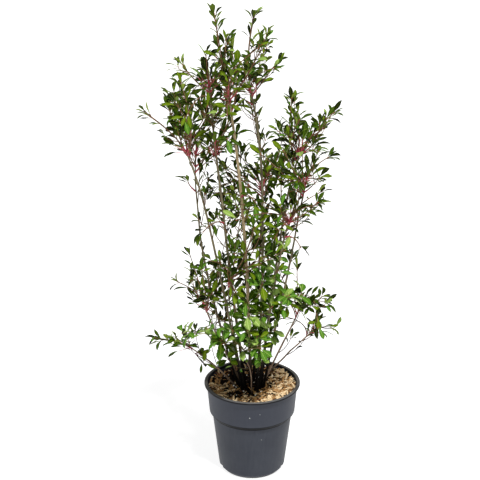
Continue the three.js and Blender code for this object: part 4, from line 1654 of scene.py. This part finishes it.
@dataclass
class LeafMould:
    """The leaf that all are made from: obovate, widest past the middle, with a sharp tip."""

    MAP: ClassVar[str] = "OFBake"
    rows: tuple[float, ...] = (0.0, 0.14, 0.30, 0.47, 0.63, 0.79, 0.91, 1.0)
    spread: tuple[float, ...] = (0.0, 0.22, 0.56, 0.88, 1.0, 0.78, 0.38, 0.0)
    columns: tuple[float, ...] = (-1.0, -0.5, 0.0, 0.5, 1.0)
    thickness: float = 0.3 * MM
    rib: float = 0.25 * MM

    def __post_init__(self) -> None:
        """Works out the points, faces and map of one leaf."""
        self.points: list[tuple[float, float, int]] = []
        upper, lower = [], []
        for t in self.rows:
            start = len(self.points)
            if t in (0.0, 1.0):
                self.points.append((t, 0.0, 0))
                upper.append([start] * 5)
                lower.append(upper[-1])
                continue
            self.points += [(t, c, 1) for c in self.columns]
            self.points += [(t, c, -1) for c in self.columns[1:-1]]
            upper.append(list(range(start, start + 5)))
            lower.append([start, start + 5, start + 6, start + 7, start + 4])
        self.faces: list[tuple[int, ...]] = []
        self.map: list[Range] = []
        self.slots: list[int] = []
        for slot, grid in enumerate((upper, lower)):
            for row in range(len(self.rows) - 1):
                for column in range(4):
                    self._add_face(grid, slot, row, column)

    def _add_face(self, grid: list[list[int]], slot: int, row: int, column: int) -> None:
        """Adds one face and its corners on the map, the lower skin's beside the upper's.

        Args:
            grid: The points of the skin, by row and column.
            slot: 0 for the upper skin and 1 for the lower.
            row: The row that it starts at.
            column: The column that it starts at.
        """
        spots = [(row, column), (row, column + 1), (row + 1, column + 1), (row + 1, column)]
        if slot == 0:
            spots.reverse()
        corners = []
        for r, c in spots:
            if grid[r][c] not in corners:
                corners.append(grid[r][c])
                across = 0.25 + 0.5 * slot + 0.22 * self.columns[c] * self.spread[r]
                self.map.append((across, 0.03 + 0.94 * self.rows[r]))
        self.faces.append(tuple(corners))
        self.slots.append(slot)

    def cast(self, leaves: Mapping[str, np.ndarray]) -> np.ndarray:
        """Shapes many leaves at once.

        Args:
            leaves: Their roots, directions, sizes and bends, one row a leaf.

        Returns:
            Their points, as leaves x points x 3.
        """
        t, c, skin = np.array(self.points).T[:, None]
        length, width, bend, fold, twist, wave = (
            leaves[key][:, None] for key in ("length", "width", "bend", "fold", "twist", "wave")
        )
        half = np.interp(t, self.rows, self.spread) * width / 2
        across = c * half * np.cos(fold)
        lift = np.abs(c) * half * np.sin(fold)
        lift = lift + wave * half * np.sin(9 * t + 40 * wave) * c * c
        below = self.thickness * (1 - c * c) + self.rib * (np.abs(c) < 0.1) * (1 - t)
        lift = lift - below * (skin < 0)
        turn = twist * t
        across, lift = (
            across * np.cos(turn) - lift * np.sin(turn),
            across * np.sin(turn) + lift * np.cos(turn),
        )
        angle = bend * t
        forward = length * np.sin(angle) / bend + lift * np.sin(angle)
        height = -length * (1 - np.cos(angle)) / bend + lift * np.cos(angle)
        along, face = leaves["along"][:, None], leaves["face"][:, None]
        base = leaves["root"][:, None] + along * leaves["stalk"][:, None, None]
        steps = zip((along, np.cross(face, along), face), (forward, across, height))
        return base + sum(way * step[..., None] for way, step in steps)


@dataclass
class Foliage:
    """Sets the leaves and their stalks on the crown's shoots."""

    crown: Crown
    mould: LeafMould = field(default_factory=LeafMould)
    shoot_seed: int = 40000
    whorl_seed: int = 60000
    spacing: float = 13.5 * MM
    # The share of a shoot at which the leaves along it end, and the step of those at its tip
    last_share: float = 0.92
    tuft_step: float = 0.018
    widths: Range = (0.27, 0.4)
    fresh_widths: Range = (0.42, 0.56)
    stalk: Range = (2.2 * MM, 4.2 * MM)
    short_stalk: Range = (5 * MM, 10 * MM)
    long_stalk: Range = (15 * MM, 29 * MM)
    whorl_leaf: Range = (28 * MM, 38 * MM)
    # How far leaves may stand out of the model's box, and keep clear of the canes and the pot
    outside: float = 3 * MM
    cane_clear: float = 5 * MM
    pot_radius: float = 104 * MM
    pot_height: float = 192 * MM

    def places(self) -> dict[str, np.ndarray]:
        """Works out where every leaf grows.

        Returns:
            The leaves' roots, directions, sizes, bends and tones, one row a leaf.
        """
        rows = [row for shoot in self.crown.shoots for row in self.on_shoot(shoot)]
        plain = len(rows)
        rows += self.rosettes()
        made = {key: np.array([row[key] for row in rows]) for key in rows[0]}
        # The broad leaves of fresh growth stand on green stalks
        slender = made["width"] < self.fresh_widths[0] * made["length"]
        made["whorled"] = (np.arange(len(rows)) >= plain) & slender
        kept = self._kept(made)
        log.info("%d leaves of %d kept", kept.sum(), len(kept))
        return chosen_rows(made, kept)

    def on_shoot(self, shoot: Shoot) -> list[dict[str, object]]:
        """Works out the leaves of one shoot, spaced along it and tufted at its tip.

        Args:
            shoot: The shoot.

        Returns:
            The leaves' values, by name.
        """
        rows: list[dict[str, object]] = []
        habit, part = shoot.habit, shoot.part
        draw = Draws(self.shoot_seed + 13 * shoot.seed)
        reach = shoot.curve.length() * (self.last_share - habit.bare)
        number = int(reach / (self.spacing * (habit.gap * shoot.openness)))
        turn = draw() * FULL_TURN
        for i in range(number):
            even = (i + draw.within((0.2, 0.8))) / number
            share = lerp(habit.bare, self.last_share, even)
            turn += GOLDEN + draw.within((-0.3, 0.3))
            lean = math.radians(lerp(56, 30, share) + draw.within((-10, 10)))
            size = habit.leaf * lerp(1.0, 0.8, share) * draw.within((0.72, 1.15))
            rows.append(self._leaf(shoot.ring(share), part, lean, turn, size, self.stalk, draw))
        phase = draw() * FULL_TURN
        flat = part is Part.FRESH
        tuft = habit.tuft + 2 * flat
        for i in range(tuft):
            ring = shoot.ring(1 - self.tuft_step * (tuft - i))
            turn = phase + FULL_TURN * i / tuft + draw.within((-0.4, 0.4))
            lean = math.radians(draw.within((52, 84) if flat else (10, 46)))
            size = habit.leaf * draw.within((0.75, 1.1) if flat else (0.6, 1.05))
            ring = ring.opened() if flat else ring
            rows.append(self._leaf(ring, part, lean, turn, size, self.stalk, draw))
        return rows

    def rosettes(self) -> list[dict[str, object]]:
        """Works out the large leaves that stand on long stalks round each fork.

        Returns:
            The leaves' values, by name.
        """
        rows: list[dict[str, object]] = []
        canes = self.crown.canes
        whorls = [(cane, 1.0) for cane in canes]
        whorls += [(c, MIDWAY_WHORLS[c.name]) for c in canes if c.name in MIDWAY_WHORLS]
        for cane, top in whorls:
            draw = Draws(self.whorl_seed + 17 * cane.index + (top < 1))
            number, scale = (11, 1.0) if cane.tall else (6, 0.8)
            turn = draw() * FULL_TURN
            for i in range(number):
                turn += GOLDEN + draw.within((-0.2, 0.2))
                ring = cane.ring(top - self.tuft_step * (1 - i / number))
                lean = math.radians(lerp(64, 20, i / number) + draw.within((-8, 8)))
                size = draw.within(self.whorl_leaf) * scale
                stalk = self.long_stalk
                if cane.fresh:
                    ring, lean, stalk = ring.opened(), lean + 0.3, self.short_stalk
                rows.append(self._leaf(ring, cane.part, lean, turn, size, stalk, draw))
        return rows

    def _leaf(
        self, ring: Ring, part: Part, lean: float, turn: float, size: float, stalk: Range,
        draw: Draws,
    ) -> dict[str, object]:
        """Works out one leaf: its upper face looks to the shoot's tip and to the sky.

        Args:
            ring: The ring of the limb that it grows on.
            part: Where it stands in the plant.
            lean: How far it leans from the limb.
            turn: Its turn round the limb.
            size: Its length.
            stalk: The limits of its stalk's length.
            draw: The stream of chance.

        Returns:
            The leaf's values, by name.
        """
        along = (ring.leaning(lean, turn) + UP * 0.12).normalized()
        face = ring.along + UP * 0.8 + ring.side * 0.08
        face = (face - along * face.dot(along)).normalized()
        roll = draw.within((-0.6, 0.6))
        pick, tone = draw(), 0
        while tone < len(part.value) - 1 and pick > part.value[tone]:
            pick -= part.value[tone]
            tone += 1
        widths = self.fresh_widths if part is Part.FRESH else self.widths
        return {
            "root": ring.point,
            "along": along,
            "face": face * math.cos(roll) + face.cross(along) * math.sin(roll),
            "length": size,
            "tone": tone,
            "width": size * draw.within(widths),
            "bend": draw.within((0.15, 1.15)),
            "fold": draw.within((0.08, 0.5)),
            "twist": draw.within((-0.4, 0.4)),
            "wave": draw.within((0.02, 0.16)),
            "stalk": draw.within(stalk),
        }

    def _kept(self, leaves: Mapping[str, np.ndarray]) -> np.ndarray:
        """Says which leaves stay inside the model's box and clear of canes, pot and compost.

        Args:
            leaves: All the leaves.

        Returns:
            True for each leaf that is kept.
        """
        shares = np.linspace(0, 1, 40)
        wood = np.array([cane.place(float(s)) for cane in self.crown.canes for s in shares])
        kept = np.ones(len(leaves["root"]), bool)
        low = np.array(self.crown.low) - self.outside
        high = np.array(self.crown.high) + self.outside
        for part in (0.35, 0.7, 1.0):
            reach = leaves["stalk"] + leaves["length"] * part
            point = leaves["root"] + leaves["along"] * reach[:, None]
            drop = leaves["length"] * leaves["bend"] * part * part * 0.4
            point -= leaves["face"] * drop[:, None]
            kept &= ((point > low) & (point < high)).all(1)
            level = np.linalg.norm(point[:, :2], axis=1)
            kept &= (level >= self.pot_radius) | (point[:, 2] >= self.pot_height)
            # In blocks, so that the table of gaps stays small
            for start in range(0, len(point), 2000):
                block = slice(start, start + 2000)
                gaps = np.linalg.norm(point[block, None] - wood[None], axis=2).min(1)
                kept[block] &= gaps > self.cane_clear
        return kept

    def build(self) -> None:
        """Makes the leaves of each tone and their stalks."""
        leaves, mould = self.places(), self.mould
        for index, tone in enumerate(Tone):
            name = tone.name.lower()
            blade, under, rib = tone.value
            skins = [
                LeafSkin(f"leaf_waxy_upper_{name}", blade, rib, 0.36, 0.25),
                LeafSkin(f"leaf_matt_lower_{name}", under, rib, 0.62, 0.75),
            ]
            shapes = mould.cast(chosen_rows(leaves, leaves["tone"] == index))
            buffer = MeshBuffer()
            buffer.add(shapes, mould.faces, np.array(mould.map), None, mould.slots)
            piece = buffer.build(f"leaves_{name}", [s.material() for s in skins], mould.MAP)
            young = tone in (Tone.BRIGHT, Tone.PALE)
            finish_piece(piece, self.crown.nodes(young))
        # The stalks' third colour, the same as their dark one, is painted shade laid on them low
        # down
        self.stalks(
            "leaf_stalks", chosen_rows(leaves, ~leaves["whorled"]), (0.45, 0.36, 0.24),
            Bark("leaf_stalk_skin", "#664030", "#966a50", "#664030", 0.8 * MM, 0.05 * MM, 0.55),
        )
        self.stalks(
            "whorl_stalks", chosen_rows(leaves, leaves["whorled"]), (0.68, 0.52, 0.42),
            Bark("leaf_stalk_crimson", "#a03240", "#d4747a", "#a03240", 0.9 * MM, 0.05 * MM, 0.5),
        )

    def stalks(
        self, name: str, leaves: Mapping[str, np.ndarray], radii: Sequence[float], finish: Bark
    ) -> None:
        """Makes the stalks of some leaves.

        Args:
            name: The piece's name.
            leaves: The leaves that they carry.
            radii: Their radii at the foot, halfway and under the blade, in millimetres.
            finish: Their skin.
        """
        root, along, face = leaves["root"], leaves["along"], leaves["face"]
        reach = leaves["stalk"] + leaves["length"] * 0.1
        side, levels = np.cross(face, along), []
        for part, radius in zip((-0.1, 0.5, 1.0), radii):
            # The stalk runs just under the blade, so that it shows below the base only
            centre = root + along * reach[:, None] * part - face * (0.35 * MM * max(part, 0))
            height = reach * part + np.arange(len(root)) * 0.013
            levels.append((centre, side, face, radius * MM, height))
        buffer = MeshBuffer()
        buffer.add_tubes(4, levels)
        buffer.finish(name, finish, "bark")


def chosen_rows(table: Mapping[str, np.ndarray], chosen: np.ndarray) -> dict[str, np.ndarray]:
    """Returns the rows of a table that are chosen."""
    return {key: value[chosen] for key, value in table.items()}


@dataclass
class TwigWood:
    """Makes the wood of the shoots: twigs, the crimson bases of the whorls, and the buds."""

    # How far along and how wide each level of a bud is
    BUD: ClassVar[tuple[Range, ...]] = (
        (-0.6, 0.25), (0.0, 0.8), (0.7, 1.0), (1.7, 0.62), (2.8, 0.12)
    )
    crown: Crown

    def tube(
        self, buffer: MeshBuffer, shoot: Shoot, sides: int, steps: int, start: float,
        end: float = 1.0, swell: Range = (1.0, 1.0),
    ) -> None:
        """Adds a closed tube along a shoot.

        Args:
            buffer: The mesh that it goes into.
            shoot: The shoot.
            sides: How many sides it has.
            steps: How many steps it takes.
            start: Where its bark's pattern starts, so that no two shoots are alike.
            end: The share at which it ends.
            swell: How much thicker than the shoot it is at its foot and at its end.
        """
        reach, levels = shoot.curve.length(), []
        for i in range(steps + 1):
            share = end * i / steps
            ring = shoot.ring(share)
            levels.append(
                ring.level(ring.radius * lerp(*swell, i / steps), share * reach + start)
            )
        buffer.add_tubes(sides, levels)

    def build(self) -> None:
        """Makes the twigs, their crimson bases and the pointed bud at the end of each."""
        wood, fine, green, crimson, buds = (MeshBuffer() for _ in range(5))
        for index, shoot in enumerate(self.crown.shoots):
            first, fresh = shoot.habit.order == 1, shoot.part is Part.FRESH
            sides, steps = (8, 12) if first else (6, 7)
            target = green if fresh else wood if first else fine
            self.tube(target, shoot, sides, steps, 0.31 * index)
            if not fresh:
                red = min(0.8, shoot.habit.red / shoot.curve.length())
                self.tube(crimson, shoot, sides, 6, 0.31 * index, red, (1.12, 0.97))
            ring, size = shoot.ring(1.0), (1.05 if first else 0.8) * MM
            buds.add_tubes(6, [
                ring.level(wide * size, lift * size + 0.17 * index, lift * size)
                for lift, wide in self.BUD
            ])
        # The third colour of each bark is painted shade, laid on the wood low down in the crown
        kinds = [
            ("twigs_leading", wood, self.crown.nodes(True, False), Bark(
                "bark_young_brown", "#4e3826", "#8a6a4c", "#2a1c14", 1.4 * MM, 0.2 * MM, 0.68)),
            ("twigs_fine", fine, (), Bark(
                "bark_fine_brown", "#4a3220", "#7c5c3e", "#2a1c14", 1 * MM, 0.12 * MM, 0.66)),
            ("twigs_green", green, (), Bark(
                "bark_green_shoot", "#5a5628", "#a09860", "#2a1c14", 1.2 * MM, 0.1 * MM, 0.6)),
            ("whorl_bases", crimson, (), Bark(
                "bark_new_crimson", "#862a38", "#c25a62", "#5e2628", 1.2 * MM, 0.1 * MM, 0.5)),
            ("buds", buds, (), Bark(
                "bud_scales", "#7a2c2c", "#b06a4a", "#7a2c2c", 0.8 * MM, 0.1 * MM, 0.45)),
        ]
        for name, buffer, nodes, finish in kinds:
            buffer.finish(name, finish, "bark", nodes)


@dataclass
class Studio:
    """The floor, the soft lights and the camera at the photograph's angle."""

    distance: float = 2.1
    height: float = 1.277
    pitch: float = 20.64
    yaw: float = 0.66
    lens: float = 88.58
    floor_size: float = 80

    def camera(self) -> None:
        """Sets the camera up."""
        data = bpy.data.cameras.new("camera")
        data.lens, data.sensor_width = self.lens, 36.0
        data.clip_start, data.clip_end = 0.05, 50.0
        camera = add_object("camera", data)
        camera.location = (0, -self.distance, self.height)
        camera.rotation_euler = (math.radians(90 - self.pitch), 0, math.radians(self.yaw))
        bpy.context.scene.camera = camera

    def light(self, name: str, kind: str, place: Vector, way: Vector, **settings: object) -> None:
        """Adds a light.

        Args:
            name: Its name.
            kind: Its type.
            place: Where it stands.
            way: Where it shines to.
            **settings: Its properties.
        """
        data = bpy.data.lights.new(name, kind)
        for key, value in settings.items():
            setattr(data, key, value)
        lamp = add_object(name, data)
        lamp.location = place
        lamp.rotation_euler = way.to_track_quat("-Z", "Y").to_euler()

    def sky(self) -> None:
        """Sets a white wall all round, with a dimmer ceiling, so that shade falls under the
        leaves."""
        world = bpy.data.worlds.new("studio")
        world.use_nodes = True
        tree = world.node_tree
        place = add_node(tree, "TexCoord", {}).outputs["Generated"]
        height = add_node(tree, "SeparateXYZ", {0: place}).outputs["Z"]
        ends = {"From Min": 0.05, "From Max": 0.35, "To Min": 0.85, "To Max": 0.26}
        wall = add_node(tree, "MapRange", {"Value": height, **ends}).outputs[0]
        background = tree.nodes["Background"]
        background.inputs[0].default_value = linear("#fdfeff")
        tree.links.new(wall, background.inputs[1])
        bpy.context.scene.world = world

    def build(self) -> None:
        """Sets the floor, the world, the lights and the camera up."""
        deselect()
        bpy.ops.mesh.primitive_plane_add(size=self.floor_size, location=(0, 0, 0))
        floor = bpy.context.object
        floor.name = "floor"
        set_materials(floor, OpalFloor().material())
        floor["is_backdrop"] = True
        self.sky()
        bpy.context.scene.view_settings.view_transform = "Standard"
        self.light(
            "key", "SUN", Vector((0, 0, 0)), Vector((-0.2, 0.42, -1.0)), energy=3.9,
            angle=math.radians(6),
        )
        place, middle = Vector((-2.0, -1.8, 1.7)), Vector((0, 0, 0.5))
        self.light("fill", "AREA", place, middle - place, shape="SQUARE", size=1.2, energy=14)
        self.camera()


def main() -> None:
    """Builds the plant in order."""
    logging.basicConfig(level=logging.INFO, format="%(name)s %(message)s", force=True)
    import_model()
    cad_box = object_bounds()
    Studio().build()
    pot = NurseryPot()
    pot.build()
    pot.specks()
    canes = planned_canes()
    CompostBed(pot, [tuple(cane.curve.start.xy) for cane in canes]).build()
    # The third colour is painted shade, laid on the canes low down under the crown
    usual = Bark("bark_grey_tan", "#4a4232", "#90866a", "#0a0705", 1.7 * MM, 0.35 * MM)
    paler = replace(usual, name="bark_pale_tan", dark="#75644a", pale="#b9a684")
    # The low outer canes stand in the light: their bark is painted a lighter brown, and only their
    # feet carry painted shade
    lit = replace(
        usual, name="bark_lit_brown", dark="#5c4a3e", pale="#9a846e",
        painted_shade_height=(172 * MM, 200 * MM),
    )
    skins = {finish: finish.material() for finish in (usual, paler, lit)}
    finishes = {"centre": paler, **dict.fromkeys((*OPEN_CANES, "front"), lit)}
    for cane in canes:
        cane.build(skins[finishes.get(cane.name, usual)])
    crown = Crown(canes, *cad_box)
    crown.grow()
    TwigWood(crown).build()
    Foliage(crown).build()


if __name__ == "__main__":
    main()
